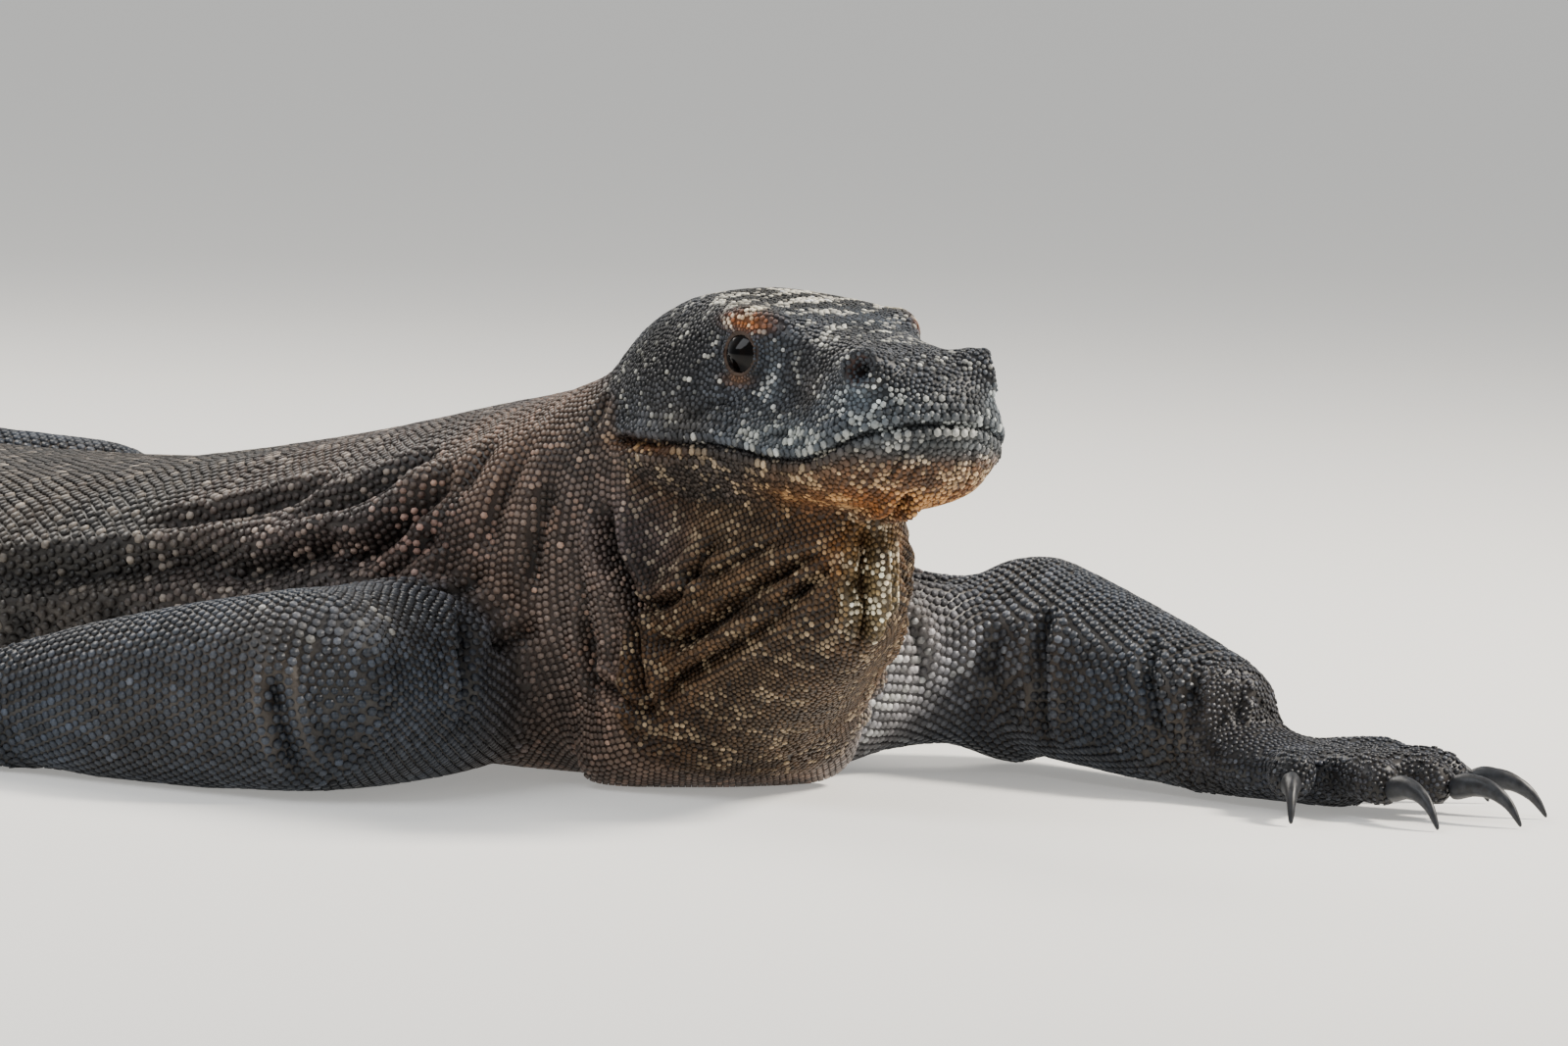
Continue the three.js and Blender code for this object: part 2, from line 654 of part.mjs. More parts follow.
// The frame's origin is the middle of the animal's footprint, on the floor.
const box = new THREE.Box3().setFromObject(dragon);
const middle = box.getCenter(new THREE.Vector3());
dragon.position.set(-middle.x, -middle.y, -box.min.z);

export default dragon;
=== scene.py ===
import json
import math

import bpy
import numpy as np
from mathutils import Matrix, Vector
from mathutils.bvhtree import BVHTree
from mathutils.kdtree import KDTree

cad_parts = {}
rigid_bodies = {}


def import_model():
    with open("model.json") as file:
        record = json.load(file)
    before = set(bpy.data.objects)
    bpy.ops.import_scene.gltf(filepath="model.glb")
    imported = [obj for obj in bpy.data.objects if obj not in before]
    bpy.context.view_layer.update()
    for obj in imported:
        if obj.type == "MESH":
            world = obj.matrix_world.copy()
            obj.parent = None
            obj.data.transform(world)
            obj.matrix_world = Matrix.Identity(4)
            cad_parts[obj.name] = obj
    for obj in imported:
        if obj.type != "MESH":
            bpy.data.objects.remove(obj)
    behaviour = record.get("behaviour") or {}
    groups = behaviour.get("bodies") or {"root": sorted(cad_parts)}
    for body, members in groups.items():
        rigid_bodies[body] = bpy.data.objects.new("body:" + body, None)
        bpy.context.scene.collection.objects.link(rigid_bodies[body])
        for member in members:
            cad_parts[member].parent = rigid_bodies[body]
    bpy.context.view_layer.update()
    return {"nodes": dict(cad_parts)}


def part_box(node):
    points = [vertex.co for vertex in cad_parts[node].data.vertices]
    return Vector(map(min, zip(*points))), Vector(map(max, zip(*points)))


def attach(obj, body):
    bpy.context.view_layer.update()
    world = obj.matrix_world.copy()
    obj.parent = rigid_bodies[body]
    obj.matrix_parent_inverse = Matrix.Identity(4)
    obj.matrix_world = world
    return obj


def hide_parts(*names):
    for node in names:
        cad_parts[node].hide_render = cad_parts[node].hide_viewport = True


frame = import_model()
bpy.ops.object.select_all(action="DESELECT")
print("frame loaded:", len(frame["nodes"]), "nodes")


# where the animal stands: all sculpting is done in millimetres
def middle(node):
    low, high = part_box(node)
    return (low + high) / 2


headPlace = {
    "eyesAhead": 1,  # the eyes' centres in the head's own frame: ahead, left, height
    "eyesOut": 38.5,
    "eyesHeight": 217,
    "axisHeight": 196,
}
eyesMiddle = (middle("eye_left") + middle("eye_right")) / 2
toLeft = (middle("eye_left") - middle("eye_right")).normalized()
headLeft = np.array([toLeft.x, toLeft.y, 0])
headAhead = np.array([toLeft.y, -toLeft.x, 0])
headAxes = np.array([headAhead, headLeft, [0, 0, 1]])
headOrigin = np.array(eyesMiddle) * 1000 - headPlace["eyesAhead"] * headAhead
headOrigin[2] -= headPlace["eyesHeight"]


def toHead(points):
    return (points - headOrigin) @ headAxes.T


def fromHead(points):
    return np.asarray(points, float) @ headAxes + headOrigin


# which way the body points, in degrees turned to its right, at each distance behind the eyes
bodyTurns = {
    "back": [-200, 60, 175, 320, 520, 1000, 1200, 1500, 1800, 2100, 2400],
    "turn": [20, 20, 13, 5, 0, 0, 8, 24, 30, 14, -10],
    "step": 5,
}


def hermite(xs, ys, places):
    xs = np.asarray(xs, float)
    ys = np.asarray(ys, float)
    before = np.maximum(np.arange(len(xs)) - 1, 0)
    after = np.minimum(np.arange(len(xs)) + 1, len(xs) - 1)
    slope = (ys[after] - ys[before]) / (xs[after] - xs[before])
    places = np.clip(places, xs[0], xs[-1])
    i = np.clip(np.searchsorted(xs, places, side="right") - 1, 0, len(xs) - 2)
    span = xs[i + 1] - xs[i]
    t = (places - xs[i]) / span
    start = (2 * t**3 - 3 * t**2 + 1) * ys[i] + (t**3 - 2 * t**2 + t) * span * slope[i]
    end = (3 * t**2 - 2 * t**3) * ys[i + 1] + (t**3 - t**2) * span * slope[i + 1]
    return start + end


lineBacks = np.arange(0, 2401, bodyTurns["step"], dtype=float)
stepTurns = np.radians(hermite(bodyTurns["back"], bodyTurns["turn"], lineBacks[:-1] + bodyTurns["step"] / 2))
lineX = np.concatenate([[0], np.cumsum(np.sin(stepTurns) * bodyTurns["step"])]) + headOrigin[0]
lineY = np.concatenate([[0], np.cumsum(np.cos(stepTurns) * bodyTurns["step"])]) + headOrigin[1]


def bodyFrame(back):
    # the midline point, ahead and left at a distance behind the eyes
    turn = math.radians(float(hermite(bodyTurns["back"], bodyTurns["turn"], np.array([back]))[0]))
    point = np.array([np.interp(back, lineBacks, lineX), np.interp(back, lineBacks, lineY), 0])
    if back < 0:
        point = headOrigin * [1, 1, 0] - back * headAhead
    ahead = np.array([-math.sin(turn), -math.cos(turn), 0])
    left = np.array([math.cos(turn), -math.sin(turn), 0])
    return point, ahead, left


# camera, light and floor
studio = {
    "azimuth": -48,
    "elevation": 3.5,
    "roll": 2.3,
    "distance": 4.5,
    "lens": 217.7,
    "eyesRight": 42,  # where the eyes stand in the frame: right of and above its centre, in pixels
    "eyesUp": 171.5,
    "focalPixels": 9675,
    "floorColour": (0.78, 0.77, 0.74, 1),
    "worldColour": (0.86, 0.88, 0.9, 1),
    "worldStrength": 0.42,
    "floorGlow": 0.4,
    "floorRoughness": 0.85,
    # name, azimuth, elevation, power, size and colour
    "lights": [
        ("sun", 50, 42, 190, 0.7, (1, 0.93, 0.83)),
        ("shade", -100, 48, 52, 1.8, (0.93, 0.96, 1)),
        ("back", 160, 40, 60, 1.6, (1, 0.94, 0.86)),
    ],
    "lightDistance": 3.2,
    "lightTarget": (0.05, 0.25, -0.12),  # from the eyes towards the shoulders
    "floorSize": 60,
    "floorHeight": -0.0006,
}


def compass(azimuth, elevation):
    az, el = math.radians(azimuth), math.radians(elevation)
    return Vector((math.sin(az) * math.cos(el), -math.cos(az) * math.cos(el), math.sin(el)))


def addCamera():
    back = compass(studio["azimuth"], studio["elevation"])
    az, roll = math.radians(studio["azimuth"]), math.radians(studio["roll"])
    flat = Vector((math.cos(az), math.sin(az), 0))
    upright = back.cross(flat)
    right = flat * math.cos(roll) + upright * math.sin(roll)
    up = upright * math.cos(roll) - flat * math.sin(roll)
    aside = studio["eyesRight"] / studio["focalPixels"]
    above = studio["eyesUp"] / studio["focalPixels"]
    zAxis = (back + right * aside + up * above).normalized()
    xAxis = (right - zAxis * right.dot(zAxis)).normalized()
    yAxis = zAxis.cross(xAxis)
    bpy.ops.object.camera_add(location=eyesMiddle + back * studio["distance"])
    camera = bpy.context.object
    camera.name = "viewCamera"
    camera.rotation_mode = "QUATERNION"
    turned = np.array([xAxis, yAxis, zAxis]).T
    camera.rotation_quaternion = Matrix(turned.tolist()).to_quaternion()
    camera.data.sensor_width = 36
    camera.data.lens = studio["lens"]
    camera.data.clip_end = 60
    bpy.context.scene.camera = camera


def addLights():
    target = eyesMiddle + Vector(studio["lightTarget"])
    for title, azimuth, elevation, power, size, colour in studio["lights"]:
        away = compass(azimuth, elevation)
        bpy.ops.object.light_add(type="AREA", location=target + away * studio["lightDistance"])
        light = bpy.context.object
        light.name = "light." + title
        light.rotation_euler = away.to_track_quat("Z", "Y").to_euler()
        light.data.energy = power
        light.data.size = size
        light.data.color = colour
    world = bpy.data.worlds.new("studioWorld")
    world.use_nodes = True
    world.node_tree.nodes["Background"].inputs["Color"].default_value = studio["worldColour"]
    world.node_tree.nodes["Background"].inputs["Strength"].default_value = studio["worldStrength"]
    bpy.context.scene.world = world


def addFloor():
    bpy.ops.mesh.primitive_plane_add(size=studio["floorSize"], location=(0, 0, studio["floorHeight"]))
    floor = bpy.context.object
    floor.name = "floor"
    matt = bpy.data.materials.new("paleFloor")
    matt.use_nodes = True
    shader = matt.node_tree.nodes["Principled BSDF"]
    shader.inputs["Base Color"].default_value = studio["floorColour"]
    shader.inputs["Roughness"].default_value = studio["floorRoughness"]
    shader.inputs["Emission Color"].default_value = studio["floorColour"]
    shader.inputs["Emission Strength"].default_value = studio["floorGlow"]
    floor.data.materials.append(matt)


addCamera()
addLights()
addFloor()
print("studio ready")


# mesh helpers
def readPoints(piece):
    points = np.empty(len(piece.data.vertices) * 3)
    piece.data.vertices.foreach_get("co", points)
    return points.reshape(-1, 3) * 1000


def writePoints(piece, points):
    piece.data.vertices.foreach_set("co", (points / 1000).ravel())
    piece.data.update()


def readNormals(piece):
    normals = np.empty(len(piece.data.vertices) * 3)
    piece.data.vertex_normals.foreach_get("vector", normals)
    return normals.reshape(-1, 3)


def readEdges(piece):
    edges = np.empty(len(piece.data.edges) * 2, dtype=np.int64)
    piece.data.edges.foreach_get("vertices", edges)
    return edges.reshape(-1, 2)


def relax(values, edges, rounds, weight):
    # each value moves towards the mean of its neighbours
    a, b = edges.T
    count = len(values)
    degree = np.bincount(a, minlength=count) + np.bincount(b, minlength=count)
    for _ in range(rounds):
        total = np.stack(
            [
                np.bincount(a, values[b, k], count) + np.bincount(b, values[a, k], count)
                for k in range(values.shape[1])
            ],
            1,
        )
        values = values + (total / np.maximum(degree, 1)[:, None] - values) * weight[:, None]
    return values


def ease(x):
    x = np.clip(x, 0, 1)
    return x * x * (3 - 2 * x)


def joinedCopy(nodes, title):
    bpy.ops.object.select_all(action="DESELECT")
    for node in nodes:
        frame["nodes"][node].select_set(True)
    bpy.context.view_layer.objects.active = frame["nodes"][nodes[0]]
    bpy.ops.object.duplicate()
    if len(nodes) > 1:
        bpy.ops.object.join()
    piece = bpy.context.object
    bpy.ops.object.parent_clear(type="CLEAR_KEEP_TRANSFORM")
    for key in list(piece.keys()):
        del piece[key]
    piece.name = title
    piece.data.materials.clear()
    bpy.ops.object.mode_set(mode="EDIT")
    bpy.ops.mesh.select_all(action="SELECT")
    bpy.ops.mesh.remove_doubles(threshold=0.00001)
    bpy.ops.object.mode_set(mode="OBJECT")
    return piece


def selectOnly(piece):
    bpy.ops.object.select_all(action="DESELECT")
    piece.select_set(True)
    bpy.context.view_layer.objects.active = piece


def writeTint(piece, tint):
    attribute = piece.data.color_attributes.new("tint", "FLOAT_COLOR", "POINT")
    attribute.data.foreach_set("color", tint.ravel())


def applyModifier(piece, kind, **settings):
    modifier = piece.modifiers.new("step", kind)
    for key, value in settings.items():
        setattr(modifier, key, value)
    bpy.context.view_layer.objects.active = piece
    bpy.ops.object.modifier_apply(modifier=modifier.name)


def subdivideWhere(piece, mask):
    # mask is per vertex: faces with a vertex in it are divided once
    corners = [list(face.vertices) for face in piece.data.polygons]
    chosen = np.array([mask[c].any() for c in corners])
    piece.data.polygons.foreach_set("select", chosen)
    bpy.context.view_layer.objects.active = piece
    bpy.context.tool_settings.mesh_select_mode = (False, False, True)
    bpy.ops.object.mode_set(mode="EDIT")
    bpy.ops.mesh.subdivide(number_cuts=1)
    bpy.ops.object.mode_set(mode="OBJECT")


# the skin: one closed surface over all the flesh
tails = ["tail_base", "tail_front", "tail_middle", "tail_rear", "tail_end"]
arms = ["upper_arm_left", "forearm_left", "upper_arm_right", "forearm_right"]
legs = ["thigh_left", "shank_left", "thigh_right", "shank_right"]
handsAndFeet = ["hand_left", "hand_right", "foot_left", "foot_right"]
flesh = ["head", "lower_jaw", "throat", "neck", "chest", "trunk", "loins", "pelvis"]
flesh += tails + arms + legs + handsAndFeet

skinMake = {
    "swell": 0.5,  # closes the thin cuts between the pieces before they are joined
    "voxel": 3.5,
    "softening": 80,  # rounds of relaxing; the shares below say how much each part takes
    "share": {
        "head": 0.10, "lower_jaw": 0.14, "throat": 0.3, "neck": 0.9, "chest": 1, "trunk": 1, "loins": 1,
        "pelvis": 1, "tail_base": 0.8, "tail_front": 0.5, "tail_middle": 0.4, "tail_rear": 0.25,
        "tail_end": 0.12, "hand_left": 0.18, "hand_right": 0.18, "foot_left": 0.18, "foot_right": 0.18,
    },
    "limbShare": 0.8,
    "shareRounds": 12,  # rounds that blend one part's share into the next
    "returnRounds": 40,  # the broad shape lost in the relaxing is given back, by this amount
    "returned": 0.9,
    "coatDepth": 1.0,  # the skin lies this far below the tops of the scales
}


def buildFleshTree():
    points, faces, owner = [], [], []
    for index, node in enumerate(flesh):
        mesh = frame["nodes"][node].data
        base = len(points)
        points += [tuple(v.co * 1000) for v in mesh.vertices]
        faces += [[base + i for i in face.vertices] for face in mesh.polygons]
        owner += [index] * len(mesh.polygons)
    return BVHTree.FromPolygons(points, faces), np.array(owner)


def nearestFlesh(points):
    return fleshOwner[np.array([fleshTree.find_nearest(p)[2] for p in points.tolist()])]


def buildSkin():
    skin = joinedCopy(flesh + ["eye_left", "eye_right"], "skin")
    applyModifier(skin, "DISPLACE", strength=skinMake["swell"] / 1000, mid_level=0)
    applyModifier(skin, "REMESH", mode="VOXEL", voxel_size=skinMake["voxel"] / 1000)
    bpy.ops.object.mode_set(mode="EDIT")
    bpy.ops.mesh.separate(type="LOOSE")
    bpy.ops.object.mode_set(mode="OBJECT")
    parts = sorted(bpy.context.selected_objects, key=lambda part: len(part.data.vertices))
    skin = parts.pop()
    for part in parts:
        bpy.data.objects.remove(part)
    skin.name = "skin"
    selectOnly(skin)
    points, edges = readPoints(skin), readEdges(skin)
    owner = nearestFlesh(points)
    shares = np.array([skinMake["share"].get(node, skinMake["limbShare"]) for node in flesh])
    weight = relax(shares[owner][:, None], edges, skinMake["shareRounds"], np.ones(len(points)))[:, 0] * 0.5
    soft = relax(points, edges, skinMake["softening"], weight)
    lost = relax(points - soft, edges, skinMake["returnRounds"], np.full(len(points), 0.5))
    soft += lost * skinMake["returned"]
    writePoints(skin, soft)
    soft = soft - readNormals(skin) * (skinMake["coatDepth"] + skinMake["swell"])
    writePoints(skin, soft)
    return skin


fleshTree, fleshOwner = buildFleshTree()
skin = buildSkin()
print("skin joined:", len(skin.data.vertices), "points")


# sculpting, in the head's own frame: ahead of the eyes, left, height, in millimetres
eyeShape = {
    "radius": 12.7,
    "forward": 18,  # degrees the gaze turns ahead from straight out
    "lift": 2,
    "opening": 47,  # half the angle of the opening between the lids
    "lid": 1.3,
    "blend": 46,
    "hidden": 2.6,
    "reach": 40,  # nothing further than this from an eye's centre, or this far behind it, is moved
    "behind": -4,
    "taller": 0.05,
    "foldRise": 0.45,  # folds round the lids: their height, how far apart and how soon they fade
    "foldSpacing": 11,
    "foldFade": 2.4,
}
mouthLine = {
    "ahead": [-90, -60, -30, 0, 22, 50, 78, 95, 106, 114, 124],
    "height": [170, 171, 172, 174, 173, 171, 173, 179, 185, 189, 194],
    "corner": -84,
    "above": 140,  # only the head above this height and nearer its middle than this is grooved
    "within": 90,
    "fade": 14,  # the groove grows to its full depth over this length
    "width": 1.5,
    "depth": 2.6,
    "lipRise": 0.9,
    "lipAway": 4.2,
    "lipWidth": 2.4,
}
nostril = {
    "at": (103.5, 36, 217),
    "size": 7.8,
    "depth": 13,
    "inward": (-0.35, -0.93, -0.1),
    "rim": 1.9,
    "rimAway": 1.6,
    "rimWidth": 2.2,
    "reach": 16,
    "bare": 6.6,  # no scales nearer than this
}
ear = {
    "at": (-96, 73, 186),
    "size": (6, 9, 15),
    "depth": 5.5,
    "edge": 1.1,  # these four are shares of its size
    "rimAt": 1.35,
    "rimWidth": 0.3,
    "reach": 3,
    "rim": 1.0,
}

bothSides = (1, -1)  # left, right
# soft swellings and hollows on both sides of the head: place, reach and rise
swellings = [
    ((4, 45, 232), (19, 8, 4.6), 6.0),  # brow shelf
    ((30, 36, 226), (20, 7, 5), 2.2),  # ridge from the brow to the nostril
    ((45, 47, 206), (24, 12, 12), -5.0),  # hollow between eye and nostril
    ((98, 29, 219), (12, 11, 10), 5.0),  # round the nostril
    ((2, 55, 196), (24, 14, 5), 1.6),  # bag below the eye
    ((-52, 66, 206), (30, 16, 20), 3.0),  # temple
    ((-45, 66, 156), (34, 14, 10), 3.2),  # swelling of the jaw behind the mouth
    ((30, 52, 178), (50, 14, 6), 1.5),  # upper lip
    ((60, 46, 160), (44, 14, 7), 1.8),  # lower lip
    ((-26, 20, 246), (34, 12, 10), -1.2),  # dip behind the brow
    ((112, 14, 176), (14, 16, 9), 1.6),  # chin
]

# creases: the points each runs through, its width and depth, and its side where only one has it
creases = [
    ([(-80, 72, 142), (-77, 70, 116), (-66, 60, 89), (-58, 61, 66), (-52, 58, 38)], 4.2, 7.5),
    ([(-68, 60, 90), (-37, 57, 97), (-24, 53, 113), (-9, 49, 126)], 3.4, 4.6),
    ([(-53, 62, 75), (-29, 55, 79), (-9, 49, 90), (13, 41, 105), (31, 33, 115),
      (49, 19, 129)], 3.6, 4.8),
    ([(-46, 59, 68), (-19, 51, 80), (3, 44, 93), (26, 34, 102), (45, 24, 114),
      (54, 15, 124)], 3, 3),
    ([(-52, 57, 44), (-30, 52, 62), (-2, 45, 76), (28, 34, 96), (50, 21, 120)], 3.4, 4.2),
    ([(-40, 56, 108), (-10, 50, 112), (14, 42, 124), (36, 34, 134)], 3, 2.6),
    ([(-62, 66, 120), (-40, 60, 124), (-16, 54, 136), (10, 46, 142)], 2.8, 2.2),
    ([(-92, 72, 54), (-72, 66, 48), (-50, 56, 38)], 3.4, 4.4),
    ([(-96, 80, 128), (-92, 76, 100), (-90, 74, 72), (-88, 72, 40)], 3.6, 4.2),
    ([(108, 7, 163), (92, 6, 154), (68, 5, 146), (60, 6, 136), (60, 6, 120), (60, 3, 98),
      (48, 1, 78)], 3.0, 9, -1),
    ([(57, 13, 138), (57, 14, 122), (59, 9, 110), (58, 9, 98), (50, 9, 82)], 2.4, 4.5, -1),
    ([(60, -9, 142), (62, -8, 118), (60, -8, 96)], 2.4, 8, -1),
    ([(-84, 66, 170), (-60, 66, 169), (-34, 64, 170)], 3.2, 2.6),
    ([(-24, 47, 200), (0, 57, 193), (24, 52, 200)], 1.6, 1.5),
    ([(-30, 60, 188), (10, 56, 183), (40, 52, 181), (70, 46, 186)], 2, 1.0),
    ([(124, 7, 186), (120, 10, 176), (110, 12, 166)], 1.4, 1.2),
    ([(121, 17, 184), (115, 20, 173), (104, 22, 163)], 1.4, 1.2),
]
headFold = {"strength": 1.35, "reach": 4, "taper": 5, "ends": 0.15, "roll": 0.42, "rollAt": 2.1, "shade": 1}
# the flaps of the throat: points, width and rise
ridges = [
    ([(62, 1, 142), (64, 0, 118), (64, 0, 98), (54, 1, 80)], 4.4, 8.5),
    ([(58, 14, 138), (60, 14, 118), (58, 14, 100)], 3.6, 5.5),
    ([(58, -14, 138), (60, -14, 118), (58, -14, 100)], 3.6, 5.5),
]
# the flaps' reach and ends, and how much painted light their crests take
ridgeForm = {"reach": 3, "top": 5, "bottom": 12, "square": 4, "shade": 0.6}


def bendThrough(line, count=40):
    line = np.asarray(line, float)
    places = np.arange(len(line))
    fine = np.linspace(0, len(line) - 1, count)
    return np.stack([hermite(places, line[:, k], fine) for k in range(3)], 1)


def nearLine(points, line, reach):
    # distance to a bent line, and how far along it, for the points within reach
    fine = bendThrough(line)
    low, high = fine.min(0) - reach, fine.max(0) + reach
    close = np.where(((points > low) & (points < high)).all(1))[0]
    best = np.full(len(close), 1e9)
    along = np.zeros(len(close))
    for k in range(len(fine) - 1):
        start, step = fine[k], fine[k + 1] - fine[k]
        t = np.clip(((points[close] - start) @ step) / (step @ step), 0, 1)
        gap = np.linalg.norm(points[close] - start - t[:, None] * step, axis=1)
        nearer = gap < best
        best[nearer] = gap[nearer]
        along[nearer] = (k + t[nearer]) / (len(fine) - 1)
    return close, best, along


def mirrored(place, side):
    return np.asarray(place, float) * [1, side, 1]


def sculptSwellings(points, normals):
    move = np.zeros(len(points))
    for place, reach, rise in swellings:
        for side in bothSides:
            away = (points - mirrored(place, side)) / reach
            move += rise * np.exp(-(away**2).sum(1))
    return points + normals * move[:, None]


def foldAlong(points, line, width, depth, fold):
    # how far a fold presses in along its line, rolls up beside it and fades towards its ends
    close, gap, along = nearLine(points, line, width * fold["reach"])
    fade = ease(np.minimum(along, 1 - along) * fold["taper"] + fold["ends"])
    dip = -depth * np.exp(-((gap / width) ** 2))
    roll = fold["roll"] * depth * np.exp(-(((gap - fold["rollAt"] * width) / width) ** 2))
    # the fold is painted into the colour too: painted shade in it, painted light on its rolled rim
    foldShade[close] += (dip + roll) / depth * fade * fold["shade"]
    return close, (dip + roll) * fade


def sculptCreases(points, normals):
    move = np.zeros(len(points))
    for places, width, depth, *oneSide in creases:
        for side in oneSide or bothSides:
            line = [mirrored(p, side) for p in places]
            close, pressed = foldAlong(points, line, width, depth * headFold["strength"], headFold)
            move[close] += pressed
    for line, width, rise in ridges:
        close, gap, along = nearLine(points, line, width * ridgeForm["reach"])
        fade = ease(np.minimum(along * ridgeForm["top"], (1 - along) * ridgeForm["bottom"]))
        crest = np.exp(-((gap / width) ** ridgeForm["square"])) * fade
        move[close] += rise * crest
        # painted light along each flap's crest
        foldShade[close] += ridgeForm["shade"] * crest
    return points + normals * move[:, None]


def sculptMouth(points, normals):
    height = np.interp(points[:, 0], mouthLine["ahead"], mouthLine["height"])
    off = points[:, 2] - height
    inHead = within(points, (mouthLine["corner"], mouthLine["within"], mouthLine["above"]))
    fade = ease((points[:, 0] - mouthLine["corner"]) / mouthLine["fade"]) * inHead
    groove = -mouthLine["depth"] * np.exp(-((off / mouthLine["width"]) ** 2))
    # painted shade along the mouth's groove
    foldShade[:] += groove / mouthLine["depth"] * fade
    away = (np.abs(off) - mouthLine["lipAway"]) / mouthLine["lipWidth"]
    lips = mouthLine["lipRise"] * np.exp(-(away**2))
    return points + normals * ((groove + lips) * fade)[:, None]


def sculptNostrils(points, normals):
    for side in bothSides:
        centre = mirrored(nostril["at"], side)
        gap = np.linalg.norm(points - centre, axis=1)
        inward = mirrored(nostril["inward"], side)
        inward /= np.linalg.norm(inward)
        pit = nostril["depth"] * (1 - ease(gap / nostril["size"])) * (gap < nostril["reach"])
        beyond = (gap - nostril["size"] - nostril["rimAway"]) / nostril["rimWidth"]
        rim = nostril["rim"] * np.exp(-(beyond**2))
        points = points + inward * pit[:, None] + normals * rim[:, None]
    return points


def sculptEars(points, normals):
    for side in bothSides:
        away = (points - mirrored(ear["at"], side)) / ear["size"]
        gap = np.sqrt((away**2).sum(1))
        rim = ear["rim"] * np.exp(-(((gap - ear["rimAt"]) / ear["rimWidth"]) ** 2))
        move = -ear["depth"] * (1 - ease(gap / ear["edge"])) + rim
        points = points + normals * (move * (gap < ear["reach"]))[:, None]
    return points


def gazeOf(side):
    forward, lift = math.radians(eyeShape["forward"]), math.radians(eyeShape["lift"])
    return np.array(
        [math.sin(forward) * math.cos(lift), side * math.cos(forward) * math.cos(lift), math.sin(lift)]
    )


def eyeCentre(side):
    return np.array([headPlace["eyesAhead"], side * headPlace["eyesOut"], headPlace["eyesHeight"]], float)


def eyeAngles(points, side):
    away = points - eyeCentre(side)
    reach = np.linalg.norm(away, axis=1)
    facing = away @ gazeOf(side) / np.maximum(reach, 1e-6)
    # the opening is a little longer than it is high
    tall = np.abs(away[:, 2]) / np.maximum(reach, 1e-6)
    return np.degrees(np.arccos(np.clip(facing, -1, 1))) * (1 + eyeShape["taller"] * tall), away, reach


def sculptEyes(points, normals):
    for side in bothSides:
        angle, away, reach = eyeAngles(points, side)
        near = (reach < eyeShape["reach"]) & (away @ gazeOf(side) > eyeShape["behind"])
        opening, radius = eyeShape["opening"], eyeShape["radius"]
        spread = (angle - opening) / eyeShape["blend"]
        wave = np.cos((angle - opening) / eyeShape["foldSpacing"] * 2 * math.pi)
        folds = eyeShape["foldRise"] * wave * np.exp(-np.maximum(spread, 0) * eyeShape["foldFade"])
        lid = radius + eyeShape["lid"] + folds
        wanted = np.where(angle < opening, radius - eyeShape["hidden"], lid + (reach - lid) * ease(spread))
        scale = np.where(near & (angle < opening + eyeShape["blend"]), wanted / np.maximum(reach, 1e-6), 1)
        points = eyeCentre(side) + away * scale[:, None]
    return points


# where the skin is divided and where it is smoothed: ahead of the first value, within the second of the
# middle line and above the third; and how far round the eyes and the nostrils it is divided again
finerSkin = {"divided": (-100, 82, 28), "smoothed": (-112, 90, 18), "eye": 24, "nostril": 12}
headEasing = {"first": 0.5, "rounds": 6, "lids": 0.3, "rest": 0.08, "lidReach": 26, "lidRounds": 2}


def within(points, limits):
    back, out, up = limits
    return (points[:, 0] > back) & (np.abs(points[:, 1]) < out) & (points[:, 2] > up)


def sculptHead():
    global foldShade
    subdivideWhere(skin, within(toHead(readPoints(skin)), finerSkin["divided"]))
    points, edges = toHead(readPoints(skin)), readEdges(skin)
    eased = within(points, finerSkin["smoothed"]) * headEasing["first"]
    points = relax(points, edges, headEasing["rounds"], eased)
    writePoints(skin, fromHead(points))
    points = sculptSwellings(points, readNormals(skin) @ headAxes.T)
    writePoints(skin, fromHead(points))
    closeToEye = np.zeros(len(points), bool)
    for side in bothSides:
        closeToEye |= np.linalg.norm(points - eyeCentre(side), axis=1) < finerSkin["eye"]
        closeToEye |= np.linalg.norm(points - mirrored(nostril["at"], side), axis=1) < finerSkin["nostril"]
    subdivideWhere(skin, closeToEye)
    points, edges = toHead(readPoints(skin)), readEdges(skin)
    foldShade = np.zeros(len(points))  # painted shade below 0 in a fold, painted light above 0 on a crest
    for step in (sculptCreases, sculptMouth, sculptNostrils, sculptEars, sculptEyes):
        normals = readNormals(skin) @ headAxes.T
        points = step(points, normals)
        writePoints(skin, fromHead(points))
    lidBand = np.zeros(len(points))
    for side in bothSides:
        angle, away, reach = eyeAngles(points, side)
        lidBand += (reach < headEasing["lidReach"]) & (angle > eyeShape["opening"] + 2)
    back, out, up = finerSkin["smoothed"]
    rest = headEasing["rest"] * (points[:, 0] > back) * (points[:, 2] > up)
    points = relax(points, edges, headEasing["lidRounds"], headEasing["lids"] * lidBand + rest)
    writePoints(skin, fromHead(points))


# each limb's joints in the frame of the shoulders or hips: ahead, out and height
limbRows = {
    "left_arm": {"back": 175, "side": 1, "joints": [(24, 60, 66), (32, 214, 58), (196, 230, 33)]},
    "right_arm": {"back": 175, "side": -1, "joints": [(-6, 60, 46), (58, 227, 50), (-100, 310, 29)]},
    "left_leg": {"back": 930, "side": 1, "joints": [(-10, 40, 60), (118, 226, 58), (-74, 302, 34)]},
    "right_leg": {"back": 930, "side": -1, "joints": [(-10, 40, 60), (82, 238, 57), (-114, 296, 34)]},
}
limbNodes = {}
for limb, spec in limbRows.items():
    sideName, kind = limb.split("_")
    spec["pitch"] = 5.0 if kind == "arm" else 5.9
    pieces = ("upper_arm", "forearm", "hand") if kind == "arm" else ("thigh", "shank", "foot")
    limbNodes[limb] = [piece + "_" + sideName for piece in pieces]


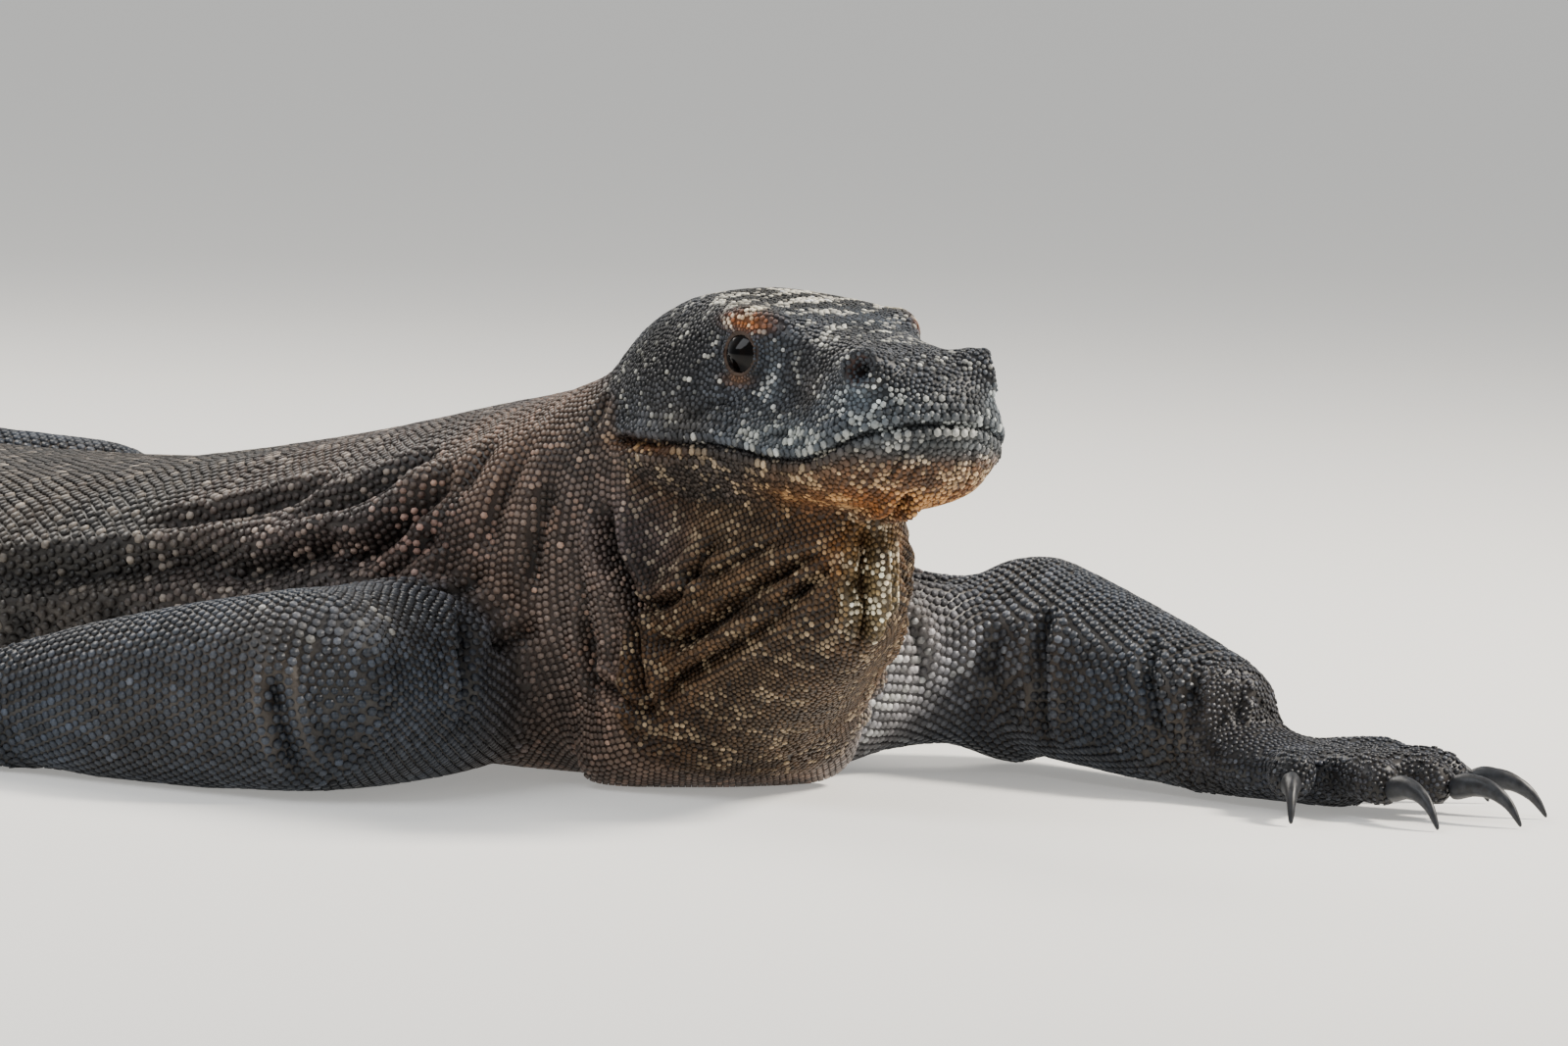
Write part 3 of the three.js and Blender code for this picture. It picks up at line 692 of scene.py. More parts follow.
def limbJoints(limb):
    spec = limbRows[limb]
    point, ahead, left = bodyFrame(spec["back"])
    return [
        point + ahead * forward + left * spec["side"] * out + np.array([0, 0, height])
        for forward, out, height in spec["joints"]
    ]


def ripple(points, size, seed):
    # a soft uneven pattern from a few crossed waves, about -1 to 1
    rng = np.random.default_rng(seed)
    total = np.zeros(len(points))
    for _ in range(7):
        direction = rng.normal(size=3)
        direction /= np.linalg.norm(direction)
        wave = 2 * math.pi / (size * rng.uniform(0.7, 1.5))
        total += np.sin(points @ direction * wave + rng.uniform(0, 6.3))
    return total / 3.2


# creases on the body: points as distance behind the eyes and height, found on the side of the trunk
bodyCreases = [
    ([(112, 158), (114, 112), (120, 72), (126, 36)], 4.5, 4),
    ([(132, 172), (136, 130), (142, 95), (150, 66)], 4.5, 2.8),
    ([(158, 168), (164, 134), (176, 108)], 5, 2.6),
    ([(172, 150), (190, 124), (216, 106), (250, 98)], 7, 9),
    ([(168, 120), (186, 104), (200, 92)], 5, 6),
    ([(150, 104), (166, 92), (176, 78)], 4.5, 5),
    ([(200, 156), (222, 140), (252, 126), (290, 116)], 6, 5.5),
    ([(232, 114), (262, 100), (300, 90), (350, 84)], 7, 8),
    ([(262, 138), (300, 124), (345, 112), (400, 102)], 6, 4),
    ([(300, 104), (350, 92), (420, 80), (500, 72)], 8, 5),
    ([(500, 66), (600, 60), (720, 60), (840, 66)], 9, 4.5),
    ([(560, 92), (660, 84), (760, 86)], 9, 2.6),
    ([(330, 70), (350, 50), (362, 30)], 6, 4),
    ([(384, 72), (400, 48), (408, 26)], 6, 3.4),
    ([(450, 62), (462, 44), (466, 24)], 7, 3),
    ([(780, 62), (792, 44), (796, 26)], 6, 3.4),
    ([(826, 74), (842, 56), (850, 34)], 6, 4),
]
# places on the skin that creases of the limbs run through, in the head's frame
limbCreases = [
    ([(-112, -126, 96), (-98, -136, 78), (-87, -145, 58), (-90, -143, 30)], 5, 6),
    ([(-50, -262, 70), (-56, -251, 43), (-58, -246, 29), (-68, -234, 12)], 4.5, 5),
    ([(-66, -236, 60), (-66, -232, 38), (-72, -222, 18)], 4, 3),
    ([(-126, 160, 92), (-128, 166, 70), (-132, 166, 44)], 5, 4),
    ([(-116, 190, 92), (-106, 182, 66), (-101, 181, 42), (-111, 193, 16)], 4.5, 5.5),
    ([(-58, 222, 80), (-38, 206, 53), (-24, 210, 26)], 3.6, 2.6),
    ([(-34, 236, 72), (-12, 216, 46), (2, 220, 24)], 3.4, 3),
    ([(-9, 244, 61), (-2, 236, 37)], 3.2, 2.6),
]
bodyFold = {"strength": 1.3, "reach": 4, "taper": 4, "ends": 0.1, "roll": 0.45, "rollAt": 2.0, "shade": 0.8}
# wrinkles round the wrists and ankles, and across the toes, measured from the last joint
wristWrinkles = {
    "spacing": 8.5,
    "depth": 1.7,
    "reach": 58,
    "end": 4,
    "fadeIn": 30,
    "fadeOut": 16,
    "outTo": 60,
    "shade": 0.4,
}
toeWrinkles = {"spacing": 7, "depth": 1.3, "from": 22, "fadeIn": 26, "clearOf": 30, "shade": 0.5}
limbWaves = {"share": 0.25, "size": 30, "seed": 21, "within": 190}


flank = {"start": 12, "ribsEnd": 600, "widest": 175, "otherwise": 60}


def sideOfBody(back, height, side):
    point, ahead, left = bodyFrame(back)
    start = point + [0, 0, height] + left * side * flank["start"]
    spot = bodyTree.ray_cast(Vector(start), Vector(left * side))[0]
    # behind the ribs, what lies further out than the flank is a leg
    if spot is None or (back > flank["ribsEnd"] and np.linalg.norm(np.array(spot) - start) > flank["widest"]):
        return start + left * side * flank["otherwise"]
    return np.array(spot)


knuckle = {"back": 10, "above": 3, "reach": 12, "rise": 2.2}


def swellKnuckles(points, normals):
    # each toe swells over the root of its claw
    for title, node in frame["nodes"].items():
        if not title.startswith("claw_"):
            continue
        corners = np.array([list(v.co * 1000) for v in node.data.vertices])
        foot = middle("_".join(["hand" if "hand" in title else "foot", title.split("_")[1]])) * 1000
        away = np.linalg.norm(corners - np.array(foot), axis=1)
        root = corners[away.argsort()[:6]].mean(0)
        inward = (np.array(foot) - root) * [1, 1, 0]
        inward /= np.linalg.norm(inward)
        centre = root + inward * knuckle["back"] + [0, 0, knuckle["above"]]
        gap = np.linalg.norm(points - centre, axis=1)
        points += normals * (knuckle["rise"] * np.exp(-((gap / knuckle["reach"]) ** 2)))[:, None]


def sculptBody():
    global bodyTree
    points, normals = readPoints(skin), readNormals(skin)
    bodyTree = BVHTree.FromPolygons(points.tolist(), [list(f.vertices) for f in skin.data.polygons])
    lines = []
    for places, width, depth in bodyCreases:
        for side in bothSides:
            lines.append(([sideOfBody(back, height, side) for back, height in places], width, depth))
    for places, width, depth in limbCreases:
        lines.append(([fromHead(p) for p in places], width, depth))
    for line, width, depth in lines:
        close, pressed = foldAlong(points, line, width, depth * bodyFold["strength"], bodyFold)
        points[close] += normals[close] * pressed[:, None]
    writePoints(skin, points)
    normals = readNormals(skin)
    move = np.zeros(len(points))
    for limb in limbRows:
        joints = limbJoints(limb)
        along = joints[2] - joints[1]
        along /= np.linalg.norm(along)
        mine = np.where(np.linalg.norm(points - joints[2], axis=1) < limbWaves["within"])[0]
        run = (points[mine] - joints[2]) @ along
        waves = limbWaves["share"] * ripple(points[mine], limbWaves["size"], limbWaves["seed"])
        beat = np.maximum(np.cos(2 * math.pi * (run / wristWrinkles["spacing"] + waves)), 0) ** 2
        starts = ease((run + wristWrinkles["reach"]) / wristWrinkles["fadeIn"])
        window = starts * (1 - ease((run - wristWrinkles["end"]) / wristWrinkles["fadeOut"]))
        away = np.linalg.norm(points[mine] - joints[2], axis=1)
        toes = np.maximum(np.cos(2 * math.pi * (away / toeWrinkles["spacing"] + waves)), 0) ** 2
        beyond = ease((run - toeWrinkles["from"]) / toeWrinkles["fadeIn"]) * (away > toeWrinkles["clearOf"])
        offLine = np.linalg.norm(np.cross(points[mine] - joints[2], along), axis=1)
        window *= offLine < wristWrinkles["outTo"]
        move[mine] -= wristWrinkles["depth"] * beat * window + toeWrinkles["depth"] * toes * beyond
        # painted shade in the wrinkles of the wrists, ankles and toes
        foldShade[mine] -= wristWrinkles["shade"] * beat * window + toeWrinkles["shade"] * toes * beyond
    points = points + normals * move[:, None]
    swellKnuckles(points, normals)
    writePoints(skin, points)


sculptHead()
sculptBody()
print("skin sculpted:", len(skin.data.vertices), "points")


# markings: one set of colours, kept on the skin's points and read by the scales too
def paint(hexColour):
    values = [int(hexColour[i : i + 2], 16) / 255 for i in (1, 3, 5)]
    return np.array(values) ** 2.2


# each part's colour, the colour and share of its light scales, and what shows between the scales (dark on
# the head and throat, dusty on the limbs), with how much of that the foot of a scale takes on
hideColours = {
    "head": ("#3b3e43", "#a8a8a2", 0.12, "#151517", 0.75),
    "lower_jaw": ("#3c3632", "#9c8a72", 0.2, "#17120f", 0.7),
    "throat": ("#443527", "#8c7a62", 0.23, "#1b130c", 0.7),
    "neck": ("#594c44", "#7d6659", 0.2, "#2b201b", 0.6),
    "chest": ("#3e3734", "#857b72", 0.18, "#2b2623", 0.5),
    "trunk": ("#322e2b", "#80776d", 0.16, "#2c2825", 0.5),
    "loins": ("#322e2b", "#787067", 0.13, "#2b2724", 0.5),
    "pelvis": ("#302d2a", "#6e665f", 0.1, "#2a2623", 0.5),
    "limbs": ("#32363d", "#5b5f67", 0.06, "#45403b", 0.4),
    "tails": ("#2c2927", "#625c56", 0.1, "#282422", 0.4),
    "handsAndFeet": ("#2c2e34", "#565a62", 0.1, "#2c2a29", 0.5),
}
clusters = {"size": 15, "share": 1.5}  # light scales stand together in patches
# painted shade in the folds and painted light on their crests: strength, and limits of the fold depth
foldPaintedShade = {"strength": 0.95, "deepest": -1.1, "highest": 0.4}
limbBlend = {"from": 35, "over": 95}  # millimetres out from the shoulder or hip
rims = {
    # painted shade deep inside each nostril pit, then the orange-brown colour of its edge
    "nostrilPaintedShade": "#0d0705",
    "nostrilEdge": "#47271a",
    "deepTo": 2,
    "deepFade": 5,
    "nostrilTo": 5,
    "nostrilFade": 4,
    "lids": "#4a382b",
    "lidsAt": 3,  # degrees out from the opening
    "lidsFade": 9,
    "lidsReach": 24,
}
unevenColour = {"broad": (0.2, 60, 3), "fine": (0.2, 17, 4), "warm": (0.07, 90, 5)}  # strength, size and seed
washForm = {"edge": 1.3, "betweenScales": 0.35}  # how sharply a wash ends, and its share on the bare skin
# washes of colour in the head's frame: place, reach, colour and how much of it, then the colour and the
# share of light scales, and the side where only one has it
washes = [
    ((-28, 0, 246), (48, 42, 14), "#222221", 0.9, "#f1ead8", 0.44),
    ((50, 0, 233), (34, 28, 9), "#3a3e44", 0.6, "#dcdacd", 0.34),
    ((6, 40, 241), (26, 9, 4), "#4b453d", 0.85, "#f1e4c2", 0.75),
    ((11, 47, 233), (23, 9, 4.6), "#94582c", 0.95, "#ecc598", 0.45),
    ((4, 49, 205), (11, 8, 3), "#7a5537", 0.6, "#bda585", 0.3),
    ((26, 47, 211), (6, 9, 15), "#767f86", 0.85, "#dbe1e2", 0.6),
    ((96, 28, 203), (26, 22, 9), "#3f454a", 0.75, "#a3aeb2", 0.42),
    ((104, 34, 206), (10, 9, 6), "#59626a", 0.7, "#b7c0c4", 0.5),
    ((58, 46, 182), (46, 16, 8), "#55595b", 0.85, "#b3b8b2", 0.5),
    ((112, 16, 188), (16, 32, 12), "#555d63", 0.7, "#b4bfc2", 0.45),
    ((-60, 66, 169), (36, 16, 4), "#5a3d26", 0.9, "#a07a50", 0.4),
    ((96, 18, 155), (36, 32, 12), "#6e4420", 0.85, "#bd8a52", 0.42),
    ((52, 36, 153), (42, 24, 10), "#5c3d20", 0.8, "#a87d4e", 0.42),
    ((62, 30, 166), (40, 20, 5), "#64482f", 0.8, "#b39a74", 0.4),
    ((56, 12, 128), (16, 16, 16), "#6a4725", 0.6, "#b0875a", 0.5),
    ((62, 6, 108), (9, 14, 34), "#5d5039", 0.85, "#ece4ca", 0.55),
    ((-60, 66, 124), (34, 20, 26), "#3c3a40", 0.6, "#857f7b", 0.22),
    # the temple's dark wash: partly its own dark slate, partly painted shade
    ((-60, 58, 216), (42, 22, 20), "#191a1d", 0.9, "#bfbcb0", 0.1),
    ((112, 20, 170), (24, 36, 7), "#65472f", 0.65, "#b59a78", 0.4),
    ((-96, 78, 190), (16, 18, 30), "#3b3735", 0.6, "#b8ab98", 0.3),
    ((-105, 105, 52), (70, 52, 46), "#86868a", 0.9, "#c4c4c0", 0.35, 1),
    ((60, 44, 206), (14, 12, 10), "#3d3833", 0.7, "#9b948a", 0.14),
    ((-20, 62, 184), (26, 14, 8), "#3a3733", 0.6, "#a09a8f", 0.2),
    # painted light: a sunlit patch of pale scales on the right elbow
    ((-62, 222, 84), (30, 48, 11), "#55565a", 0.6, "#cfc8b8", 0.3, -1),
    ((-170, 132, 116), (46, 40, 20), "#2e2422", 0.75, "#a78479", 0.3),
    ((-225, 155, 108), (50, 40, 12), "#4b3c36", 0.6, "#b89c8e", 0.4),
]


def groupOf(node):
    if node in tails:
        return "tails"
    if node in arms + legs:
        return "limbs"
    if node in handsAndFeet:
        return "handsAndFeet"
    return node


def makeMarkings(points, edges, owner):
    groups = [groupOf(node) for node in flesh]
    base = np.array([paint(hideColours[g][0]) for g in groups])[owner]
    speck = np.array([np.append(paint(hideColours[g][1]), hideColours[g][2]) for g in groups])[owner]
    gap = np.array([paint(hideColours[g][3]) for g in groups])[owner]
    # the arms and legs take on their own colour some way out from the body
    for limb, nodes in limbNodes.items():
        mine = owner == flesh.index(nodes[0])
        away = np.linalg.norm(points[mine] - limbJoints(limb)[0], axis=1)
        share = (1 - ease((away - limbBlend["from"]) / limbBlend["over"]))[:, None]
        base[mine] = base[mine] * (1 - share) + paint(hideColours["chest"][0]) * share
        gap[mine] = gap[mine] * (1 - share) + paint(hideColours["chest"][3]) * share
    both = relax(np.hstack([base, speck, gap]), edges, 10, np.full(len(points), 0.6))
    base, speck, gap = both[:, :3], both[:, 3:7], both[:, 7:]
    head = toHead(points)
    for place, reach, colour, amount, lightColour, lightShare, *oneSide in washes:
        for side in oneSide or bothSides:
            away = (head - mirrored(place, side)) / reach
            share = amount * np.exp(-((away**2).sum(1) ** washForm["edge"]))[:, None]
            base = base * (1 - share) + paint(colour) * share
            gap = gap * (1 - share) + paint(colour) * share * washForm["betweenScales"]
            wanted = np.append(paint(lightColour), lightShare)
            speck = speck * (1 - share) + wanted * share
    broad, fine, warm = (amount * ripple(points, size, seed) for amount, size, seed in unevenColour.values())
    uneven = 1 + broad + fine
    toneAndShade = uneven[:, None] * np.stack([1 + warm, np.ones(len(points)), 1 - warm], 1)
    speck[:, 3] *= np.clip(1 + clusters["share"] * ripple(points, clusters["size"], 6), 0.05, 3)
    # painted shade darkens each fold and painted light brightens each crest
    shade = np.clip(foldShade, foldPaintedShade["deepest"], foldPaintedShade["highest"])
    toneAndShade = toneAndShade * np.exp(foldPaintedShade["strength"] * shade)[:, None]
    for side in bothSides:
        # painted shade deep in each nostril, fading out to the colour of its edge
        pit = np.linalg.norm(head - mirrored(nostril["at"], side), axis=1)
        inside = (1 - ease((pit - rims["nostrilTo"]) / rims["nostrilFade"]))[:, None]
        deep = ease((pit - rims["deepTo"]) / rims["deepFade"])[:, None]
        hole = paint(rims["nostrilPaintedShade"]) * (1 - deep) + paint(rims["nostrilEdge"]) * deep
        gap = gap * (1 - inside) + hole * inside
        angle, away, reach = eyeAngles(head, side)
        offRim = np.abs(angle - eyeShape["opening"] - rims["lidsAt"])
        rim = ((reach < rims["lidsReach"]) * (1 - ease(offRim / rims["lidsFade"])))[:, None]
        gap = gap * (1 - rim) + paint(rims["lids"]) * rim
    return np.clip(base * toneAndShade, 0.004, 1), np.clip(speck, 0, 1), np.clip(gap * toneAndShade, 0.002, 1)


# scales: rows of low domes laid round the body, the limbs and the head
bodyRows = {
    "back": [20, 120, 260, 420, 900, 1500, 2000, 2370],
    "pitch": [3.2, 3.6, 4.8, 6.3, 6.7, 6.7, 5.8, 4.4],
    "axisBack": [30, 60, 90, 120, 175, 240, 360, 520, 820, 930, 1150, 1400, 1700, 2000, 2250, 2370],
    "axisHeight": [165, 148, 118, 100, 82, 74, 64, 56, 54, 55, 47, 40, 31, 22, 13, 6],
    "from": 24,
    "to": 2366,
}
headRows = {"pitch": 3.0, "from": -122, "to": 122, "lower": 22}  # behind the eyes the rows' middle lies lower
throatRows = {"pitch": 3.1, "tilt": 26, "ahead": -14, "height": 60, "from": -70, "to": 190}
footPitch = {"hand_left": 3.3, "hand_right": 3.5, "foot_left": 4.0, "foot_right": 4.0}
rowMake = {
    "rays": 72,
    "apart": 0.9,  # rows stand this share of a scale apart
    "limbApart": 0.86,
    "limbBefore": 4,  # a limb's rows begin this many scales inside the joint
}
worldUp = np.array([0, 0, 1.0])


def ringPoints(centre, across, upward, pitch, turnOver):
    # where the surface lies round one station, as points evenly spaced along its outline
    hits = []
    for k in range(rowMake["rays"]):
        angle = 2 * math.pi * k / rowMake["rays"]
        direction = across * math.sin(angle) - upward * math.cos(angle)
        spot = coatTree.ray_cast(Vector(centre), Vector(direction))[0]
        if spot is not None:
            hits.append(np.array(spot))
    if len(hits) < 6:
        return np.zeros((0, 3))
    loop = np.array(hits + hits[:1])
    steps = np.linalg.norm(np.diff(loop, axis=0), axis=1)
    run = np.concatenate([[0], np.cumsum(steps)])
    count = max(int(round(run[-1] / pitch)), 5)
    places = (np.arange(count) + (0.5 if turnOver else 0)) * run[-1] / count
    return np.stack([np.interp(places, run, loop[:, k]) for k in range(3)], 1)


def layRows():
    rows = []

    def addRow(name, centre, across, upward, pitch, odd):
        ring = ringPoints(centre, across, upward, pitch, odd)
        rows.append((name, ring, np.full(len(ring), pitch)))

    back, odd = bodyRows["from"], False
    while back < bodyRows["to"]:
        point, ahead, left = bodyFrame(back)
        pitch = np.interp(back, bodyRows["back"], bodyRows["pitch"])
        centre = point + [0, 0, np.interp(back, bodyRows["axisBack"], bodyRows["axisHeight"])]
        addRow("body", centre, left, worldUp, pitch, odd)
        back += pitch * rowMake["apart"]
        odd = not odd
    for limb, spec in limbRows.items():
        joints = limbJoints(limb)
        for start, end in zip(joints[:-1], joints[1:]):
            span = end - start
            length = np.linalg.norm(span)
            along = span / length
            across = np.cross(along, [0, 0, 1])
            across /= np.linalg.norm(across)
            upward = np.cross(across, along)
            first, step = -spec["pitch"] * rowMake["limbBefore"], spec["pitch"] * rowMake["limbApart"]
            for place in np.arange(first, length, step):
                odd = not odd
                addRow(limb, start + along * place, across, upward, spec["pitch"], odd)
    for place in np.arange(headRows["from"], headRows["to"], headRows["pitch"] * rowMake["apart"]):
        odd = not odd
        centre = fromHead([place, 0, headPlace["axisHeight"] - headRows["lower"] * (place < 0)])
        addRow("head", centre, headLeft, worldUp, headRows["pitch"], odd)
    tilt = math.radians(throatRows["tilt"])
    axis = headAhead * -math.sin(tilt) + np.array([0, 0, math.cos(tilt)])
    forward = headAhead * math.cos(tilt) + np.array([0, 0, math.sin(tilt)])
    for place in np.arange(throatRows["from"], throatRows["to"], throatRows["pitch"] * rowMake["apart"]):
        odd = not odd
        centre = fromHead([throatRows["ahead"], 0, throatRows["height"]]) + axis * place
        addRow("throat", centre, headLeft, forward, throatRows["pitch"], odd)
    return rows


# rings of beads: degrees out from the opening, and size
lidBeads = {"rings": [(4, 1.9), (12, 2.1), (21, 2.4)], "out": 1, "bareTo": 1.5, "bareReach": 22}
# rows of larger scales: millimetres above the mouth, and size
lipScales = {
    "rows": [(3.6, 4.9), (8.4, 4.5), (12.7, 4.0), (-3.6, 4.8), (-8.2, 4.4)],
    "from": -66,
    "middle": 62,
    "height": 176.0,
    "turns": range(-168, 169, 2),  # degrees round the muzzle
}


def layLids():
    spots, lies, sizes = [], [], []
    for side in bothSides:
        gaze = gazeOf(side)
        across = np.cross(gaze, [0, 0, 1])
        across /= np.linalg.norm(across)
        upward = np.cross(across, gaze)
        for ring, (beyond, size) in enumerate(lidBeads["rings"]):
            angle = math.radians(eyeShape["opening"] + beyond)
            reach = eyeShape["radius"] + eyeShape["lid"] + lidBeads["out"]
            count = int(2 * math.pi * reach * math.sin(angle) / size)
            for k in range(count):
                turn = 2 * math.pi * (k + 0.5 * (ring % 2)) / count
                outward = across * math.cos(turn) + upward * math.sin(turn)
                spot = eyeCentre(side) + reach * (gaze * math.cos(angle) + outward * math.sin(angle))
                spots.append(fromHead(spot))
                lies.append(outward @ headAxes)
                sizes.append(size)
    return spots, lies, sizes


def layLips():
    spots, lies, sizes = [], [], []
    for off, size in lipScales["rows"]:
        outline = []
        for degrees in lipScales["turns"]:
            turn = math.radians(degrees)
            direction = np.array([math.cos(turn), math.sin(turn), 0])
            height = lipScales["height"]
            for _ in range(3):
                start = fromHead([lipScales["middle"], 0, height + off])
                spot = coatTree.ray_cast(Vector(start), Vector(direction @ headAxes))[0]
                if spot is None:
                    break
                ahead = toHead(np.array([list(spot)]))[0, 0]
                height = float(np.interp(ahead, mouthLine["ahead"], mouthLine["height"]))
            if spot is not None and ahead > lipScales["from"]:
                outline.append(np.array(spot))
        outline = np.array(outline)
        run = np.concatenate([[0], np.cumsum(np.linalg.norm(np.diff(outline, axis=0), axis=1))])
        places = np.arange(0, run[-1], size)
        for place in places:
            spots.append(np.array([np.interp(place, run, outline[:, i]) for i in range(3)]))
            lies.append(np.array([0, 0, 1.0]))
            sizes.append(size)
    return spots, lies, sizes


def bareSpots(points):
    # inside the lids and the nostrils nothing grows
    head = toHead(points)
    bare = np.zeros(len(points), bool)
    for side in bothSides:
        angle, away, reach = eyeAngles(head, side)
        bare |= (reach < lidBeads["bareReach"]) & (angle < eyeShape["opening"] + lidBeads["bareTo"])
        bare |= np.linalg.norm(head - mirrored(nostril["at"], side), axis=1) < nostril["bare"]
    return bare


def ownersOfRows():
    keep = {"body": ["neck", "chest", "trunk", "loins", "pelvis"] + tails, "head": ["head", "lower_jaw"]}
    keep["throat"] = ["throat"]
    for limb, nodes in limbNodes.items():
        keep[limb] = nodes[:2]
    return {name: {flesh.index(node) for node in nodes} for name, nodes in keep.items()}


def settle(points):
    # points moved onto the skin, with its normals and the faces they lie on
    spots = [coatTree.find_nearest(p) for p in points.tolist()]
    faces = np.array([spot[2] for spot in spots])
    normals = coatNormals[coatFaces[faces]].mean(1)
    normals /= np.linalg.norm(normals, axis=1)[:, None]
    return np.array([spot[0] for spot in spots]), normals, faces


def thin(points, radii, fixed=0):
    # keeps points in order, leaving out any that stands too near one already kept
    cell = float(radii.max())
    grid = {}
    kept = []
    cells = np.floor(points / cell).astype(int).tolist()
    places, reaches = points.tolist(), (radii**2).tolist()
    offsets = [(i, j, k) for i in (-1, 0, 1) for j in (-1, 0, 1) for k in (-1, 0, 1)]
    for index, (x, y, z) in enumerate(cells):
        px, py, pz = places[index]
        reach = reaches[index]
        free = True
        if index >= fixed:
            for i, j, k in offsets:
                for qx, qy, qz in grid.get((x + i, y + j, z + k), ()):
                    if (px - qx) ** 2 + (py - qy) ** 2 + (pz - qz) ** 2 < reach:
                        free = False
                        break
                if not free:
                    break
        if free:
            grid.setdefault((x, y, z), []).append((px, py, pz))
            kept.append(index)
    return np.array(kept)


def treeOf(points):
    tree = KDTree(len(points))
    for index, point in enumerate(points.tolist()):
        tree.insert(point, index)
    tree.balance()
    return tree


def apart(points, pitch):
    # each point is pushed away from its neighbours that stand nearer than the pitch
    tree = treeOf(points)
    near = [tree.find_n(p, 7)[1:] for p in points.tolist()]
    spots = np.array([[tuple(n[0]) for n in six] for six in near])
    gaps = np.maximum(np.array([[n[2] for n in six] for six in near]), 1e-3)[:, :, None]
    push = np.maximum(pitch[:, None, None] - gaps, 0)
    return points + ((points[:, None, :] - spots) / gaps * push).sum(1) * spreading["push"]


def wantedPitch(points, owner):
    pitch = np.empty(len(points))
    fixed = {"head": headRows["pitch"], "lower_jaw": headRows["pitch"], "throat": throatRows["pitch"]}
    fixed.update(footPitch)
    for limb, nodes in limbNodes.items():
        for node in nodes[:2]:
            fixed[node] = limbRows[limb]["pitch"]
    back = backOf(points)
    alongBody = np.interp(back, bodyRows["back"], bodyRows["pitch"])
    for index in range(len(flesh)):
        mine = owner == index
        pitch[mine] = fixed.get(flesh[index], 0) or alongBody[mine]
    return pitch


def backOf(points):
    best = np.empty(len(points))
    for start in range(0, len(points), 20000):
        part = points[start : start + 20000]
        gaps = (part[:, :1] - lineX[None, ::2]) ** 2 + (part[:, 1:2] - lineY[None, ::2]) ** 2
        best[start : start + 20000] = lineBacks[::2][gaps.argmin(1)]
    return best


spreading = {
    "lips": 0.6,  # how near two scales may stand, as a share of their pitch
    "rows": 0.74,
    "filled": 0.72,
    "bare": 0.68,  # a place this far from the next scale is filled
    "uneven": 0.8,
    "rounds": 4,
    "push": 0.3,
    "alone": 1.9,
    "seed": 11,
}


def spreadScales():
    rows = layRows()
    keep = ownersOfRows()
    order = {"throat": 0, "head": 1, "body": 3}
    rows.sort(key=lambda row: order.get(row[0], 2))
    names = np.concatenate([[row[0]] * len(row[1]) for row in rows if len(row[1])])
    points = np.concatenate([row[1] for row in rows if len(row[1])])
    pitch = np.concatenate([row[2] for row in rows if len(row[1])])
    points, normals, faces = settle(points)
    owner = coatOwner[coatFaces[faces][:, 0]]
    right = np.array([o in keep[name] for o, name in zip(owner, names)])
    right &= ~bareSpots(points)
    points, pitch = points[right], pitch[right]
    special = [sum(lists, []) for lists in zip(layLids(), layLips())]
    specialPoints = settle(np.array(special[0]))[0]
    kept = thin(specialPoints, np.array(special[2]) * spreading["lips"])
    specialPoints = specialPoints[kept]
    specialLie, specialSize = np.array(special[1])[kept], np.array(special[2])[kept]
    points = np.concatenate([specialPoints, points])
    pitch = np.concatenate([specialSize, pitch])
    kept = thin(points, pitch * spreading["rows"], fixed=len(specialPoints))
    points, pitch = points[kept], pitch[kept]
    laid = len(points)
    print("scales in rows:", laid)
    # what the rows leave bare is filled from the skin's own points, then eased apart
    rng = np.random.default_rng(spreading["seed"])
    spare = rng.permutation(np.where(~bareSpots(coatPoints))[0])
    sparePitch = wantedPitch(coatPoints, coatOwner)
    tree = treeOf(points)
    gap = np.array([tree.find(p)[2] for p in coatPoints[spare].tolist()])
    spare = spare[gap > sparePitch[spare] * spreading["bare"]]
    together = np.concatenate([points, coatPoints[spare]])
    reach = np.concatenate([pitch, sparePitch[spare]])
    kept = thin(together, reach * spreading["filled"], fixed=laid)
    points, pitch = together[kept], reach[kept]
    # the head's rows are loosened, so that its scales lie unevenly, then all are eased apart
    loose = np.isin(nearestFlesh(points), [flesh.index(n) for n in ["head", "lower_jaw"] + handsAndFeet])
    loose[: len(specialPoints)] = False
    points[loose] += rng.normal(size=(loose.sum(), 3)) * spreading["uneven"]
    for _ in range(spreading["rounds"]):
        moved = apart(points, pitch)
        moved[: len(specialPoints)] = points[: len(specialPoints)]
        points = settle(moved)[0]
    # a scale left on its own, at the end of a toe, is taken away
    tree = treeOf(points)
    inCompany = np.array([tree.find_n(p, 5)[4][2] for p in points.tolist()]) < pitch * spreading["alone"]
    inCompany[: len(specialPoints)] = True
    points, pitch = points[inCompany], pitch[inCompany]
    points, normals, faces = settle(points)
    owner = coatOwner[coatFaces[faces][:, 0]]
    print("scales filled in:", len(points) - laid)
    return points, normals, faces, owner, pitch, specialLie, specialSize


points = readPoints(skin)
coatFaces = [list(face.vertices) for face in skin.data.polygons]
coatFaces = np.array([(corners + corners[:1])[:4] for corners in coatFaces])
coatPoints, coatNormals = points, readNormals(skin)
coatOwner = nearestFlesh(points)
coatTree = BVHTree.FromPolygons(points.tolist(), [list(f.vertices) for f in skin.data.polygons])
skinBase, skinSpeck, skinGap = makeMarkings(points, readEdges(skin), coatOwner)
print("markings laid")
scalePoints, scaleNormals, scaleFaces, scaleOwner, scalePitch, specialLie, specialSize = spreadScales()


# one scale, modelled once: a low dome with six sides, its foot sunk in the skin
scaleShape = {"sides": 6, "topShare": 0.64, "foot": -0.15, "height": 0.2, "longer": 1.08, "overlap": 1.2}
domeHeights = {"head": 0.95, "throat": 1.15, "neck": 1.1, "limbs": 1.1, "handsAndFeet": 0.65}


